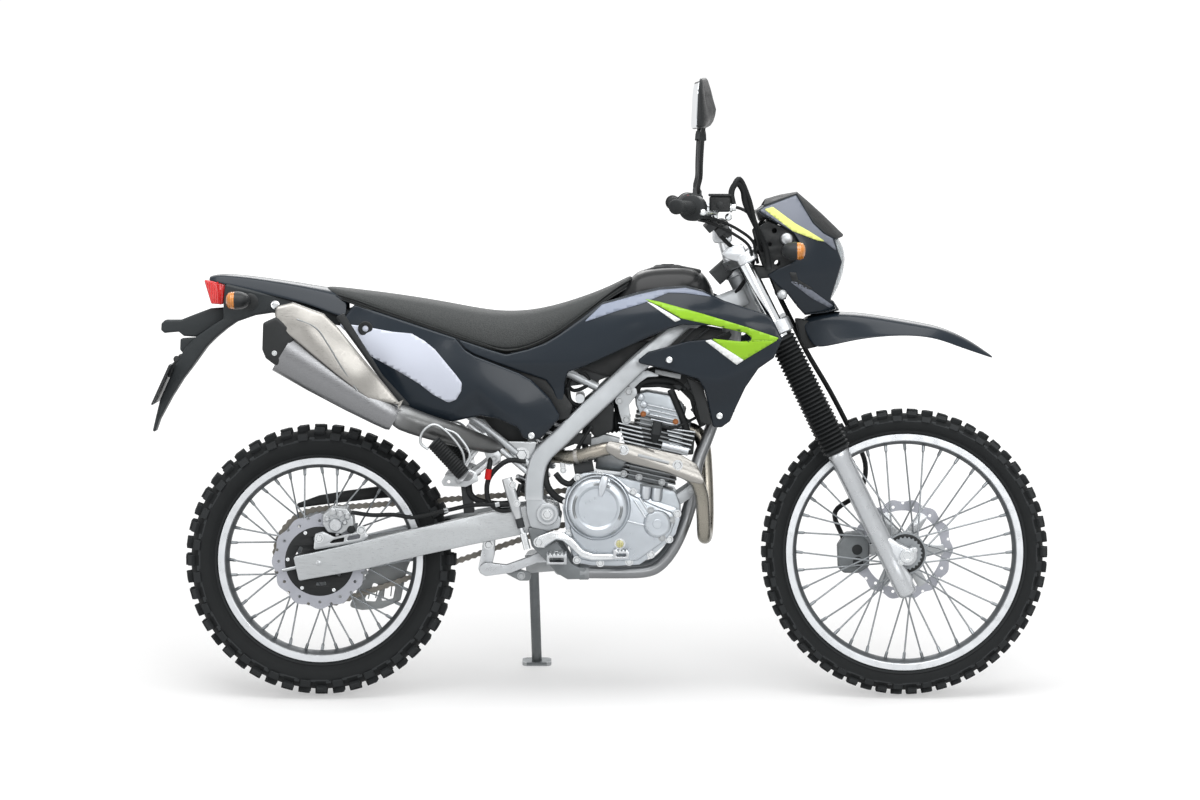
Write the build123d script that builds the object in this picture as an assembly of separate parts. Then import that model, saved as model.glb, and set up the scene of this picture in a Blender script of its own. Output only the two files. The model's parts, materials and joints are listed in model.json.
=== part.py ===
"""Dual sport motorcycle, parked on its side stand, one STEP file for each sub-part.

Every piece is drawn on the upright motorcycle, in millimetres: X forward from the rear axle, Y to the rider's
left from the middle plane, Z up from the ground. The whole is then leaned onto its side stand and moved so that
the origin is at the bottom centre of its box.
"""

from build123d import *
import math
import os

# ---------------------------------------------------------------- driving dimensions
WHEELBASE = 1380.0
LEAN = 10.0  # degrees towards the rider's left
FORK_TOP = (994.6, 1033.3)  # x, z of the leg's axis at the top clamp
FORK_LEAD = 37.3  # axle ahead of the plane of the legs
FORK_SPREAD = 100.0  # leg's axis from the middle plane
CLAMP_OFFSET = 25.0  # steering axis behind the plane of the legs
CLAMP_GAP = 180.0  # along the legs, from clamp to clamp
TUBE_R = 18.5
SLIDER_R = 23.5
STEM_R = 14.0
FIT = 0.05  # radial clearance of a turning fit
AXLE_R = 10.0

# wheel tables: axle x and z, tyre radius and half width, rim radius and half width, hub barrel radius, half
# distance over the spoke flanges, flange radius, where each end's seat lies from the middle plane and its radius,
# number of knobs round the tyre and half width of its crown
REAR = dict(x=0.0, z=321.0, tyre=321.0, width=55.0, rim=243.0, rim_half=37.0,
            hub=33.0, hub_half=50.0, flange=44.0, left_end=62.7, left_seat=52.0,
            right_end=65.45, right_seat=46.0, knobs=48, crown=21.0)
FRONT = dict(x=WHEELBASE, z=339.0, tyre=339.5, width=41.0, rim=281.0, rim_half=28.0,
             hub=24.0, hub_half=48.0, flange=34.0, left_end=59.45, left_seat=40.0,
             right_end=60.0, right_seat=50.0, knobs=57, crown=18.0)

# the fork runs from its top clamp to the front axle, which sets its rake and its length
FORK_REACH = math.hypot(FRONT["x"] - FORK_TOP[0], FORK_TOP[1] - FRONT["z"])
RAKE = math.degrees(math.atan2(FRONT["x"] - FORK_TOP[0], FORK_TOP[1] - FRONT["z"])
                    - math.asin(FORK_LEAD / FORK_REACH))  # degrees from the vertical
AXLE_S = math.sqrt(FORK_REACH ** 2 - FORK_LEAD ** 2)  # axle's place down the legs from the top clamp

KNOB_HIGH = 13.0
BEAD_GAP = 0.8  # tyre's corners above the rim, its flats lie lower
KNOB_PART = 0.5  # share of a pitch that its centre knob fills, the shoulder pair takes the rest
SPOKES = 36
SPOKE_R = 2.0

REAR_DISC_R, REAR_DISC_Y = 110.0, -68.0
FRONT_DISC_R, FRONT_DISC_Y = 120.0, 62.0
DISC_THICK = 4.5
CHAIN_Y = 66.0
CHAIN_HALF = 8.0
REAR_SPROCKET_R, FRONT_SPROCKET_R = 113.8, 35.7
COUNTERSHAFT = (603.0, 445.0)
ARM_PIVOT = (537.0, 436.0)
BAR_R = 11.1


# ---------------------------------------------------------------- drawing helpers
def slab(outline, low, high):
    """Side outline of (x, z) corners, solid from y = low to y = high."""
    face = make_face(Polyline(*outline, close=True))
    return extrude(Plane.XZ.offset(-high) * face, high - low)


def plan(outline, low=0.0, high=1600.0):
    """Plan outline of (x, y) corners, solid from z = low to z = high."""
    face = make_face(Polyline(*outline, close=True))
    return extrude(Plane.XY.offset(low) * face, high - low)


def mirrored_plan(half):
    """Plan outline of both sides from one side's (x, y) corners."""
    return plan(list(half) + [(x, -y) for x, y in reversed(half)])


def band(line, thick, low=0.0, high=1600.0):
    """Upright sheet whose outer face follows the plan line of (x, y) corners."""
    inner = [(x, y - thick if y > 0 else y + thick) for x, y in reversed(line)]
    return plan(list(line) + inner, low, high)


def rod(start, end, radius):
    start, end = Vector(*start), Vector(*end)
    return extrude(Plane(origin=start, z_dir=end - start) * Circle(radius), (end - start).length)


def beam(start, end, high, wide):
    """Bar from start to end, high in the side view and wide across."""
    start, end = Vector(*start), Vector(*end)
    line = end - start
    across = Vector(0, 0, 1).cross(line)
    section = Plane(origin=start, x_dir=across, z_dir=line) * Rectangle(wide, high)
    return extrude(section, line.length)


def pipe(points, radius, bend):
    """Round pipe along straight runs joined by arcs, bend being one radius or a list."""
    path = FilletPolyline(*points, radius=bend) if len(points) > 2 else Line(*points)
    return sweep(Plane(origin=path @ 0, z_dir=path % 0) * Circle(radius), path)


def turned(profile, x, z):
    """Profile of (radius, y) corners turned about the line across the motorcycle at x, z."""
    face = Plane(origin=(x, 0, z), x_dir=(1, 0, 0), z_dir=(0, 0, 1)) * make_face(Polyline(*profile, close=True))
    return revolve(face, Axis((x, 0, z), (0, 1, 0)))


def across(x, z, radius, low, high):
    return rod((x, low, z), (x, high, z), radius)


def both(piece):
    """The piece and its mirror image on the other side."""
    return piece + mirror(piece, about=Plane.XZ)


def skin(sections):
    """Straight-sided loft through like polygons of (x, y, z) corners."""
    return loft([make_face(Polyline(*section, close=True)) for section in sections], ruled=True)


def fork(s, y=0.0, ahead=0.0):
    """Point s down the fork from the top clamp, y across, ahead of the plane of the legs."""
    rake = math.radians(RAKE)
    down = (math.sin(rake), -math.cos(rake))
    out = (math.cos(rake), math.sin(rake))
    return (FORK_TOP[0] + s * down[0] + ahead * out[0], y, FORK_TOP[1] + s * down[1] + ahead * out[1])


def fork_plane(s, y=0.0, ahead=0.0):
    """Plane square to the fork, its x forward and its z up along the leg."""
    rake = math.radians(RAKE)
    return Plane(origin=fork(s, y, ahead), x_dir=(math.cos(rake), 0, math.sin(rake)),
                 z_dir=(-math.sin(rake), 0, math.cos(rake)))


# ---------------------------------------------------------------- wheels
def tyre_section(wheel):
    """Half section as (radius, y) corners from bead to crown, then the tops of a shoulder and a centre knob."""
    rim, half, radius, width = wheel["rim"], wheel["rim_half"], wheel["tyre"], wheel["width"]
    depth, knob = radius - rim, KNOB_HIGH
    ground = [
        (rim + BEAD_GAP, half + 1.5),
        (rim + 0.45 * depth, width * 0.94),
        (rim + 0.62 * depth, width * 0.97),
        (radius - 1.15 * knob, width * 0.60),
        (radius - knob, wheel["crown"] + 1.2),
    ]
    shoulder = (radius - 0.30 * knob, width * 0.72)
    crown = (radius, wheel["crown"])
    return ground, shoulder, crown


def tyre(wheel):
    """Knobbly tyre of flat faces: in each pitch a centre knob stands beside a pair of shoulder knobs."""
    ground, shoulder, crown = tyre_section(wheel)
    pitch = 2 * math.pi / wheel["knobs"]
    faces = []

    def at(point, turn, part, side=1):
        """Corner of the section in a pitch's flat facet, part of the way along its chord."""
        r, y = point
        along = r * math.sin(pitch / 2) * (2 * part - 1)
        high = r * math.cos(pitch / 2)
        c, s = math.cos(turn), math.sin(turn)
        return Vector(wheel["x"] + high * c - along * s, side * y, wheel["z"] + high * s + along * c)

    def face(*corners):
        faces.append(Face(Wire.make_polygon(corners, close=True)))

    for k in range(wheel["knobs"]):
        turn = (k + 0.5) * pitch

        def quad(a, b, low, high, side=1):
            face(at(a, turn, low, side), at(b, turn, low, side), at(b, turn, high, side),
                 at(a, turn, high, side))

        bead, edge, foot, inner, crest = ground
        face(at(bead, turn, 0), at(bead, turn, 0, -1), at(bead, turn, 1, -1), at(bead, turn, 1))
        for side in (1, -1):
            quad(bead, edge, 0, 1, side)
            face(at(edge, turn, 0, side), at(foot, turn, 0, side), at(foot, turn, KNOB_PART, side),
                 at(foot, turn, 1, side), at(edge, turn, 1, side))
            quad(foot, inner, 0, KNOB_PART, side)
            quad(foot, shoulder, KNOB_PART, 1, side)
            quad(shoulder, inner, KNOB_PART, 1, side)
            for part in (KNOB_PART, 1):
                face(at(foot, turn, part, side), at(shoulder, turn, part, side), at(inner, turn, part, side))
            face(at(inner, turn, 0, side), at(inner, turn, KNOB_PART, side), at(inner, turn, 1, side),
                 at(crest, turn, 1, side), at(crest, turn, KNOB_PART, side), at(crest, turn, 0, side))
            quad(crest, crown, 0, KNOB_PART, side)
        for part in (0, KNOB_PART):
            face(at(crest, turn, part), at(crown, turn, part), at(crown, turn, part, -1),
                 at(crest, turn, part, -1))
        face(at(crown, turn, 0), at(crown, turn, 0, -1), at(crown, turn, KNOB_PART, -1),
             at(crown, turn, KNOB_PART))
        face(at(crest, turn, KNOB_PART), at(crest, turn, KNOB_PART, -1), at(crest, turn, 1, -1),
             at(crest, turn, 1))
    return Solid(Shell(faces))


def rim(wheel):
    r, w = wheel["rim"], wheel["rim_half"]
    half = [(r, w), (r, w - 3), (r - 8, w - 4.5), (r - 9, w * 0.55), (r - 16, w * 0.38)]
    inner = [(r - 21, w * 0.40), (r - 14, w * 0.62), (r - 11, w)]
    profile = half + [(a, -b) for a, b in reversed(half)] + [(a, -b) for a, b in reversed(inner)] + inner
    return turned(profile, wheel["x"], wheel["z"])


def hub(wheel):
    """Hub barrel with two spoke flanges and a seat at each end, bored for the axle, and its laced spokes."""
    core, lip, flange = wheel["hub"], wheel["hub_half"] - 6, wheel["flange"]

    def end(side, reach, seat):
        neck = core * 0.8
        return [(AXLE_R + FIT, side * reach), (seat, side * reach), (seat, side * (reach - 5)),
                (neck, side * (reach - 5)),
                (neck, side * (lip + 2)), (flange, side * lip), (flange, side * (lip - 5)), (core,
                                                                                             side * (lip - 12))]

    profile = end(1, wheel["left_end"], wheel["left_seat"]) + end(-1, wheel["right_end"],
                                                                  wheel["right_seat"])[::-1]
    barrel = turned(profile, wheel["x"], wheel["z"])
    end_r = wheel["rim"] - 21.8
    spokes = []
    for i in range(SPOKES):
        side = 1 if i % 2 else -1
        lead = 1 if (i // 2) % 2 else -1
        outer = math.radians(360.0 * i / SPOKES)
        inner = outer + lead * math.radians(62.0)
        root = (wheel["x"] + (flange - 4) * math.cos(inner), side * (lip - 2.5),
                wheel["z"] + (flange - 4) * math.sin(inner))
        tip = (wheel["x"] + end_r * math.cos(outer), side * 4.0, wheel["z"] + end_r * math.sin(outer))
        spokes.append(rod(root, tip, SPOKE_R))
    return barrel + spokes


def disc(wheel, radius, inner, y, arms, hub_r):
    """Brake disc ring on a spider of arms, y being its middle."""
    x, z = wheel["x"], wheel["z"]
    low, high = y - DISC_THICK / 2, y + DISC_THICK / 2
    ring = across(x, z, radius, low, high) - across(x, z, inner, low - 1, high + 1)
    spider = across(x, z, hub_r + 32, low, high)
    for i in range(arms):
        angle = 2 * math.pi * i / arms
        tip = (x + (inner + 4) * math.cos(angle), y, z + (inner + 4) * math.sin(angle))
        spider += extrude(
            Plane(origin=(x, y, z), x_dir=(0, 1, 0), z_dir=(tip[0] - x, 0, tip[2] - z)) * Rectangle(DISC_THICK,
                                                                                                    16),
                                                                                                    inner + 4)
    holes = [across(x + (radius + inner) / 2 * math.cos(a), z + (radius + inner) / 2 * math.sin(a), 4.0,
                    low - 1, high + 1)
             for a in (2 * math.pi * i / 18 for i in range(18))]
    return ring + spider - across(x, z, hub_r, low - 1, high + 1) - holes


def rear_sprocket():
    teeth = 45
    x, z = REAR["x"], REAR["z"]
    low, high = CHAIN_Y - 3, CHAIN_Y + 3
    body = across(x, z, REAR_SPROCKET_R - 6.5, low, high)
    outline = []
    for i in range(teeth * 2):
        angle = math.pi * i / teeth
        r = REAR_SPROCKET_R + (2.5 if i % 2 else -6.5)
        outline.append((x + r * math.cos(angle), z + r * math.sin(angle)))
    body += slab(outline, low, high)
    hub_hole = across(x, z, 20, low - 1, high + 1)
    windows = [across(x + 78 * math.cos(a), z + 78 * math.sin(a), 20, low - 1, high + 1)
               for a in (2 * math.pi * i / 6 for i in range(6))]
    return body - hub_hole - windows


# ---------------------------------------------------------------- fork and steering
BOOT_TOP, BOOT_END, BOOT_FOLDS = 205.0, 502.0, 18
SLIDER_END = 880.0


def fork_tubes():
    tube = extrude(fork_plane(BOOT_END + 30, FORK_SPREAD) * Circle(TUBE_R), BOOT_END + 30 + 14)
    cap = extrude(fork_plane(-14, FORK_SPREAD) * Circle(14), 6)
    return both(tube + cap)


def fork_boots():
    """Bellows: a zigzag turned about the leg."""
    pitch = (BOOT_END - BOOT_TOP) / BOOT_FOLDS
    outer = [(31.0, 0.0)]
    for i in range(BOOT_FOLDS):
        grow = 1.0 if i < 4 else 0.0
        outer.append((34.5 - grow, i * pitch + pitch * 0.5))
        outer.append((28.5, (i + 1) * pitch))
    inner = [(TUBE_R + 0.3, BOOT_FOLDS * pitch), (TUBE_R + 0.3, 0.0)]
    face = make_face(Polyline(*(outer + inner), close=True))
    base = fork_plane(0)
    lie = Plane(origin=fork(BOOT_TOP, FORK_SPREAD), x_dir=base.x_dir, z_dir=base.x_dir.cross(-base.z_dir))
    boot = revolve(lie * face, Axis(fork(BOOT_TOP, FORK_SPREAD), base.z_dir))
    return both(boot)


def fork_sliders():
    """Sliders with the leading lugs that carry the axle and the lug of the calliper."""
    length = SLIDER_END - BOOT_END - 4
    leg = extrude(fork_plane(SLIDER_END, FORK_SPREAD) * Circle(SLIDER_R), length)
    leg -= extrude(fork_plane(BOOT_END + 34, FORK_SPREAD) * Circle(TUBE_R + 0.05), 40)
    x, z = FRONT["x"], FRONT["z"]
    low, high = FORK_SPREAD - 18, FORK_SPREAD + 18
    lug = across(x, z, 24, low, high)
    web = extrude(fork_plane(AXLE_S + 34, FORK_SPREAD, 18) * Rectangle(40, 34), 78)
    leg = leg + lug + web - across(x, z, AXLE_R + FIT, low - 20, high + 20)
    return both(leg)


def clamp_plate(s, thick, half):
    """Clamp plate square to the legs, bored for both tubes and the stem."""
    outline = [(-45, 30), (-12, half), (28, half), (36, half - 22), (10, 45), (10, -45), (36, 22 - half),
               (28, -half),
               (-12, -half), (-45, -30)]
    face = make_face(Polyline(*outline, close=True))
    face -= [Pos(0, y) * Circle(TUBE_R + 0.05) for y in (-FORK_SPREAD, FORK_SPREAD)]
    return extrude(fork_plane(s + thick / 2) * face, thick)


def triple_clamps():
    top, low = clamp_plate(0, 26, 125), clamp_plate(CLAMP_GAP, 34, 128)
    stem = extrude(fork_plane(CLAMP_GAP, 0, -CLAMP_OFFSET) * Circle(STEM_R), CLAMP_GAP)
    nut = extrude(fork_plane(-12, 0, -CLAMP_OFFSET) * Circle(16), 10)
    posts = []
    for y in (-42, 42):
        posts.append(rod(fork(-8, y, -28), BAR_CENTRE[:1] + (y,) + BAR_CENTRE[1:], 15))
    clamp = [across(BAR_CENTRE[0], BAR_CENTRE[1], 20, y - 16, y + 16) for y in (-42, 42)]
    tongue = slab([(1080, 872), (1134.7, 893), (1134.7, 881), (1084, 860)], -44, 8)
    piece = top + low + stem + nut + posts + clamp + tongue
    return piece - across(BAR_CENTRE[0], BAR_CENTRE[1], BAR_R + FIT, -70, 70)


BAR_CENTRE = (948.0, 1090.0)


def handlebar():
    x, z = BAR_CENTRE
    half = [(x, 0, z), (x, 80, z), (x - 43, 190, z + 62), (x - 113, 417, z + 70)]
    right = [(px, -py, pz) for px, py, pz in reversed(half[1:])]
    return pipe(right + half[1:], BAR_R, 40)


def bar_point(t, side=1):
    """Point on the straight end of the bar, t before its tip."""
    x, z = BAR_CENTRE
    tip, root = Vector(x - 113, side * 417, z + 70), Vector(x - 43, side * 190, z + 62)
    return tip + (root - tip).normalized() * t


def bar_rod(start, end, radius, side):
    a, b = bar_point(start, side), bar_point(end, side)
    bore = rod(bar_point(start - 5, side), bar_point(end + 5, side), BAR_R + 0.05)
    return rod(a, b, radius) - bore


def grips():
    pieces = []
    for side in (-1, 1):
        grip = bar_rod(-3, 118, 17, side) + bar_rod(118.2, 122, 24, side)
        pieces.append(grip)
    return pieces[0] + pieces[1]


def controls():
    """Throttle and switch housings, levers with perches, and the brake reservoir."""
    pieces = []
    for side in (-1, 1):
        root, outer = bar_point(195, side), bar_point(40, side)
        housing = bar_rod(122.5, 160, 25, side)
        perch = bar_rod(172, 196, 18, side)
        pivot = root + Vector(34, 0, -8)
        arm = beam(root + Vector(10, 0, -2), pivot, 18, 20)
        lever = beam(pivot, outer + Vector(58, 0, -14), 9, 13)
        tip = beam(outer + Vector(58, 0, -14), outer + Vector(52, side * 30, -12), 8, 11)
        piece = perch + arm + lever + tip
        piece -= rod(bar_point(160, side), bar_point(210, side), BAR_R + 0.05)
        pieces += [housing, piece]
    box = Pos(938, -232, 1166) * Box(46, 52, 36) + rod((950, -228, 1150), (975, -228, 1150), 6)
    seat = beam(Vector(938, -232, 1150), bar_point(184, -1) + Vector(14, 0, 0), 16, 22)
    pieces[1] = pieces[1] + box + seat
    pieces[1] -= rod(bar_point(160, -1), bar_point(215, -1), BAR_R + 0.05)
    return pieces[0] + pieces[1:]


def mirrors():
    pieces = []
    for side in (-1, 1):
        root = bar_point(184, side)
        foot = (root.X, root.Y, root.Z + 20)
        stalk = pipe([foot, (893, side * 262, 1240), (900, side * 318, 1345)], 5, 40)
        outline = [(884, 1340), (918, 1336), (927, 1368), (925, 1424), (900, 1455), (884, 1452), (880, 1400)]
        head = slab(outline, -80, 80)
        shape = plan([(878, -72), (890, -80), (932, -60), (932, 60), (890, 80), (878, 72)])
        head = Pos(0, side * 335, 0) * (head & shape)
        pieces.append(stalk + head)
    return pieces[0] + pieces[1]


def headlight_cowl():
    """Thin cowl, open to the rear, with its visor and the two steps below it."""
    outline = [(1030, 1145), (1045, 1158), (1120, 1187), (1165, 1150), (1210, 1100), (1222, 1050), (1232, 1020),
               (1205, 962), (1217, 918), (1150, 910), (1130, 912), (1100, 950), (1060, 985), (1050, 1000),
               (1080, 1050), (1065, 1110)]
    around = [(1025, 108), (1110, 110), (1170, 92), (1215, 62), (1240, 25)]
    inside = [(1020, 103), (1108, 105), (1166, 88), (1206, 60), (1224, 25)]
    shell = slab(outline, -112, 112) & mirrored_plan(around)
    hollow = slab([(1000, 1130), (1046, 1148), (1119, 1180), (1161, 1145), (1205, 1096), (1230, 1050),
                   (1236, 1020),
                   (1201, 962), (1210, 925), (1152, 917), (1110, 960), (1000,
                                                                        990)], -112,
                                                                        112) & mirrored_plan(inside)
    opening = slab([(1180, 1065.3), (1300, 1077.3), (1300, 937), (1180, 951)], -77.3, 77.3)
    cowl = shell - hollow - opening
    for side in (-1, 1):
        clamp = extrude(fork_plane(42, side * FORK_SPREAD) * (Circle(25) - Circle(TUBE_R + 0.05)), 20)
        arm = beam((1030, side * 101, 1006), (1068, side * 104, 1012), 16, 7)
        arm -= extrude(fork_plane(90, side * FORK_SPREAD) * Circle(TUBE_R + 2), 100)
        cowl += clamp + arm
    return cowl


def headlight():
    """Lamp body with its bulged lens in the cowl's opening."""
    outline = [(1150, 1062), (1212, 1068), (1230, 1050), (1236, 1020), (1231, 982), (1210, 948), (1150, 955)]
    shape = [(1140, 66), (1180, 77), (1212, 73), (1230, 50), (1238, 12)]
    return slab(outline, -77, 77) & mirrored_plan(shape)


def indicator(x, z, y, side, body, amber, across_half, down_half):
    """Flexible stem, black body and amber lens, body and amber being (back, front)."""
    low = -across_half
    shell = Pos(0, side * y, 0) * slab([(body[0], z - down_half), (body[1], z - down_half),
                                        (body[1], z + down_half),
                                        (body[0], z + down_half)], low, across_half)
    lens = Pos(0, side * y, 0) * slab([(amber[0], z - down_half + 2), (amber[1], z - down_half + 6),
                                       (amber[1], z + down_half - 6), (amber[0],
                                                                       z + down_half - 2)], low + 2,
                                                                       across_half - 2)
    return shell + lens


def front_indicators():
    pieces = []
    for side in (-1, 1):
        lamp = indicator(1110, 1051, 178, side, (1095, 1127), (1127, 1147), 34, 21)
        stem = rod((1110, side * 110.3, 1051), (1110, side * 150, 1051), 8)
        pieces.append(lamp + stem)
    return pieces[0] + pieces[1]


def front_fender():
    """Channel-shaped fender: a curved roof with two side flanges."""
    top = [(1135, 892), (1150, 899), (1200, 905), (1250, 905), (1300, 899), (1350, 888), (1400, 876),
           (1440, 873),
           (1500, 843), (1550, 820), (1588, 802)]
    low = [(1550, 812), (1500, 830), (1450, 850), (1400, 856), (1300, 850), (1250, 838), (1175, 823),
           (1152, 872), (1135, 880)]
    half = [(1130, 48), (1180, 66), (1300, 70), (1420, 66), (1520, 52), (1575, 34), (1590, 12)]
    inner = [(1125, 44), (1180, 62), (1300, 66), (1420, 62), (1518, 48), (1560, 34), (1570, 12)]
    outer = slab(top + low, -72, 72) & mirrored_plan(half)
    roof = [(x, z - 5) for x, z in top]
    hollow = slab([(1143, 891)] + roof[1:-1] + [(1560, 806), (1500, 800), (1143, 800)], -72,
                  72) & mirrored_plan(inner)
    return outer - hollow


def front_caliper():
    """Calliper over the disc, its bracket, and the wheel's axle with spacers."""
    x, z = FRONT["x"], FRONT["z"]
    axle = across(x, z, AXLE_R, -FORK_SPREAD - 22, FORK_SPREAD + 22)
    axle += across(x, z, 15, FRONT["left_end"] + 1, FORK_SPREAD - 18.3)
    axle += across(x, z, 15, -FORK_SPREAD + 18.3, -FRONT["right_end"] - 1)
    axle += across(x, z, 15, FORK_SPREAD + 18.3, FORK_SPREAD + 25)
    axle += across(x, z, 13, -FORK_SPREAD - 25, -FORK_SPREAD - 18.3)
    outline = [(-152, -47), (-152, 13), (-128, 37), (-90, 33), (-80, -9), (-84, -43),
               (-112, -53)]  # from the axle
    body = slab([(x + dx, z + dz) for dx, dz in outline], FRONT_DISC_Y - 19, FRONT_DISC_Y + 22)
    slot = across(x, z, FRONT_DISC_R + 3, FRONT_DISC_Y - 4.5, FRONT_DISC_Y + 4.5)
    return axle + (body - slot)


HOSE_R = 4.0
HOSE_BENDS = [20, 18, 40, 50, 50, 60, 60, 60, 80, 80, 40, 40, 30]


def brake_hose():
    """Front brake hose, clipped down the left leg."""
    points = [(969, -228, 1156.4), (967, -227, 1194), (984, -220, 1222), (1006, -200, 1176), (1022, -160, 1116),
              (1045, -74, 1040), (1080, -4, 952),
              (1113, 34, 886), (1152, 72, 808), (1208, 104, 714), (1256, 120, 622), (1294, 134, 540),
              (1280, 138, 470), (1222, 124, 424), (1238, 66, 366.8)]
    return pipe(points, HOSE_R, HOSE_BENDS)


# ---------------------------------------------------------------- frame and running gear
def frame():
    head = extrude(fork_plane(CLAMP_GAP - 20, 0, -CLAMP_OFFSET) * Circle(30), CLAMP_GAP - 37)
    spars = []
    for side in (-1, 1):
        spars.append(beam((575, side * 102, 622), (770, side * 84, 806), 45, 28))
        spars.append(beam((760, side * 85, 800), (880, side * 62, 892), 45, 28))
        spars.append(beam((868, side * 64, 882), (1010, side * 26, 950), 42, 28))
    plate = [(612, 655), (560, 650), (508, 570), (478, 500), (478, 440), (500, 360), (552, 285), (592, 285),
             (596, 318), (566, 372), (574, 436), (556, 500), (590, 588)]
    plates = [slab(plate, *sorted((side * 94, side * 120))) for side in (-1, 1)]
    down = beam((1000, 0, 860), (934, 0, 650), 44, 50)
    cradle = []
    for side in (-1, 1):
        line = [(942, side * 18, 676), (890, side * 54, 540), (876, side * 66, 450), (848, side * 76, 374),
                (794, side * 84, 297), (585, side * 100, 297)]
        cradle.append(pipe(line, 13.5, [60, 60, 60, 50]))
    ties = [across(588, 562, 14, -100, 100), across(566, 305, 14, -100, 100), across(613, 706, 12, -96, 96)]
    bore = extrude(fork_plane(CLAMP_GAP + 20, 0, -CLAMP_OFFSET) * Circle(STEM_R + FIT), CLAMP_GAP + 60)
    pivot = across(ARM_PIVOT[0], ARM_PIVOT[1], 25, -124, -94) + across(ARM_PIVOT[0], ARM_PIVOT[1], 25, 94, 124)
    head_cut = extrude(fork_plane(CLAMP_GAP - 19.9, 0, -CLAMP_OFFSET) * Rectangle(90, 90), -90)
    lug = slab(STAND_LUG, 96, 110)
    lug += on_stand_axis(18, -EYE_HALF - 24, -EYE_HALF - EYE_SIDE)
    pin = on_stand_axis(STAND_PIN_R, -EYE_HALF - 10, EYE_HALF + 3)
    pin += on_stand_axis(10, EYE_HALF + EYE_SIDE, EYE_HALF + 6)
    rests = [slab([(542, 324), (578, 324), (578, 352), (542, 352)],
                  *sorted((side * 118, side * 125.7))) for side in (-1, 1)]
    piece = head + spars + plates + rests + [down] + cradle + ties + [pivot, lug, pin]
    return piece - bore - head_cut - across(ARM_PIVOT[0], ARM_PIVOT[1], 9 + FIT, -130, 130)


HANGER = [(380, 640), (425, 640), (420, 560), (350, 500), (295, 500), (300, 535), (350, 560)]


def subframe():
    pieces = []
    for side in (-1, 1):
        pieces.append(pipe([(654, side * 68.9, 732), (560, side * 72, 775), (330, side * 76, 816),
                            (66, side * 76, 880)], 11, 60))
        pieces.append(pipe([(500, side * 106, 588), (360, side * 96, 650), (84, side * 76, 856)], 11, 60))
        pieces.append(slab(HANGER, *sorted((side * 104, side * 116))))
        pieces.append(rod((340, side * 110, 540), (340, side * 162, 540), 8))
        pieces.append(slab([(430, 600), (526.9, 600), (506.9, 569.8), (502.4, 559.3), (475, 551)],
                           *sorted((side * 97, side * 104))))
    ties = [across(72.4, 880, 12, -74, 74), across(330, 815, 9, -76, 76)]
    return pieces[0] + pieces[1:] + ties


def swingarm():
    x, z = ARM_PIVOT
    side_view = [(-66, 328), (210, 398), (430, 446), (505, 456), (550, 454), (566, 434), (548, 406), (470, 385),
                 (240, 338), (-50, 270), (-66, 276)]
    right = [(-70, 88), (60, 88), (250, 78), (400, 62), (570, 58), (570, 90), (400, 94), (250, 104), (60, 114),
             (-70, 114)]
    arm = slab(side_view, 0, 130) & plan(right)
    arm -= slab([(-30, 308), (60, 331), (60, 317), (-30, 294)], 0, 130)
    arms = both(arm)
    brace = slab([(400, 428), (500, 452), (500, 410), (400, 388)], -70, 70)
    lug = slab([(384, 372), (404, 396), (430, 400), (412, 345), (385, 345)], -22, 22)
    pivot = across(x, z, 9, -126, 126)
    blocks = both(slab([(-70, 324), (-76, 300), (-64, 276), (-40, 272), (-40, 332)], 87, 117))
    axle = across(REAR["x"], REAR["z"], AXLE_R, -132, 132) + both(across(REAR["x"], REAR["z"], 16, 114, 126))
    axle += across(REAR["x"], REAR["z"], 15, REAR["left_end"] + 1, 90) + across(REAR["x"], REAR["z"], 15, -90,
                                                                                -REAR["right_end"] - 1)
    return arms + [brace, lug, pivot, blocks, axle]


CASE_HALF = 92.0


def engine():
    """Crankcase block, cut back on the left for the chain's sprocket."""
    slope = math.tan(math.radians(CYLINDER_TILT))
    x, z = CYLINDER_BASE
    outline = [(596, 330), (604, 314), (753, 314), (830, 382), (846, 422), (844, 455),
               (840, z - 0.5 - slope * (840 - x)),
               (700, z - 0.5 + slope * (x - 700)), (640, 530), (604, 524), (584, 470)]
    block = slab(outline, -CASE_HALF, CASE_HALF) - slab([(500, 300), (656, 300), (656, 620), (500, 620)], 48,
                                                        100)
    return block + across(*COUNTERSHAFT, 27, 47, 72)


def engine_covers():
    clutch = turned([(0, -92.3), (76, -92.3), (76, -128), (66, -138), (52, -138), (46, -130), (0, -130)], 655,
                    450)
    clutch += slab([(604, 318), (753, 318), (812, 363), (836, 384), (850, 422), (838, 452), (803, 465),
                    (736, 492),
                    (690, 526), (624, 526), (590, 480), (582, 400)], -112, -92.3)
    oil = turned([(0, -92.3), (33, -92.3), (33, -122), (26, -128), (0, -128)], 795, 413)
    ignition = turned([(0, 92.3), (66, 92.3), (66, 122), (54, 134), (0, 134)], 762, 420)
    ignition += slab([(672, 350), (800, 350), (835, 400), (820, 480), (700, 505), (672, 470)], 92.3, 112)
    drive = slab([(578, 480), (590, 500), (690, 500), (690, 395), (590, 390), (578, 410)], 92.3, 104)
    return clutch + [oil, ignition + drive]


CYLINDER_TILT = 12.5
CYLINDER_BASE = (772.0, 507.0)  # x, z of the bore's axis at the crankcase
BARREL_FINS = 10
HEAD_FINS = 5
FIN_PITCH = 10.5


def cylinder_plane(up=0.0):
    tilt = math.radians(CYLINDER_TILT)
    origin = (CYLINDER_BASE[0] + up * math.sin(tilt), 0, CYLINDER_BASE[1] + up * math.cos(tilt))
    return Plane(origin=origin, x_dir=(math.cos(tilt), 0, -math.sin(tilt)),
                 z_dir=(math.sin(tilt), 0, math.cos(tilt)))


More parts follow.
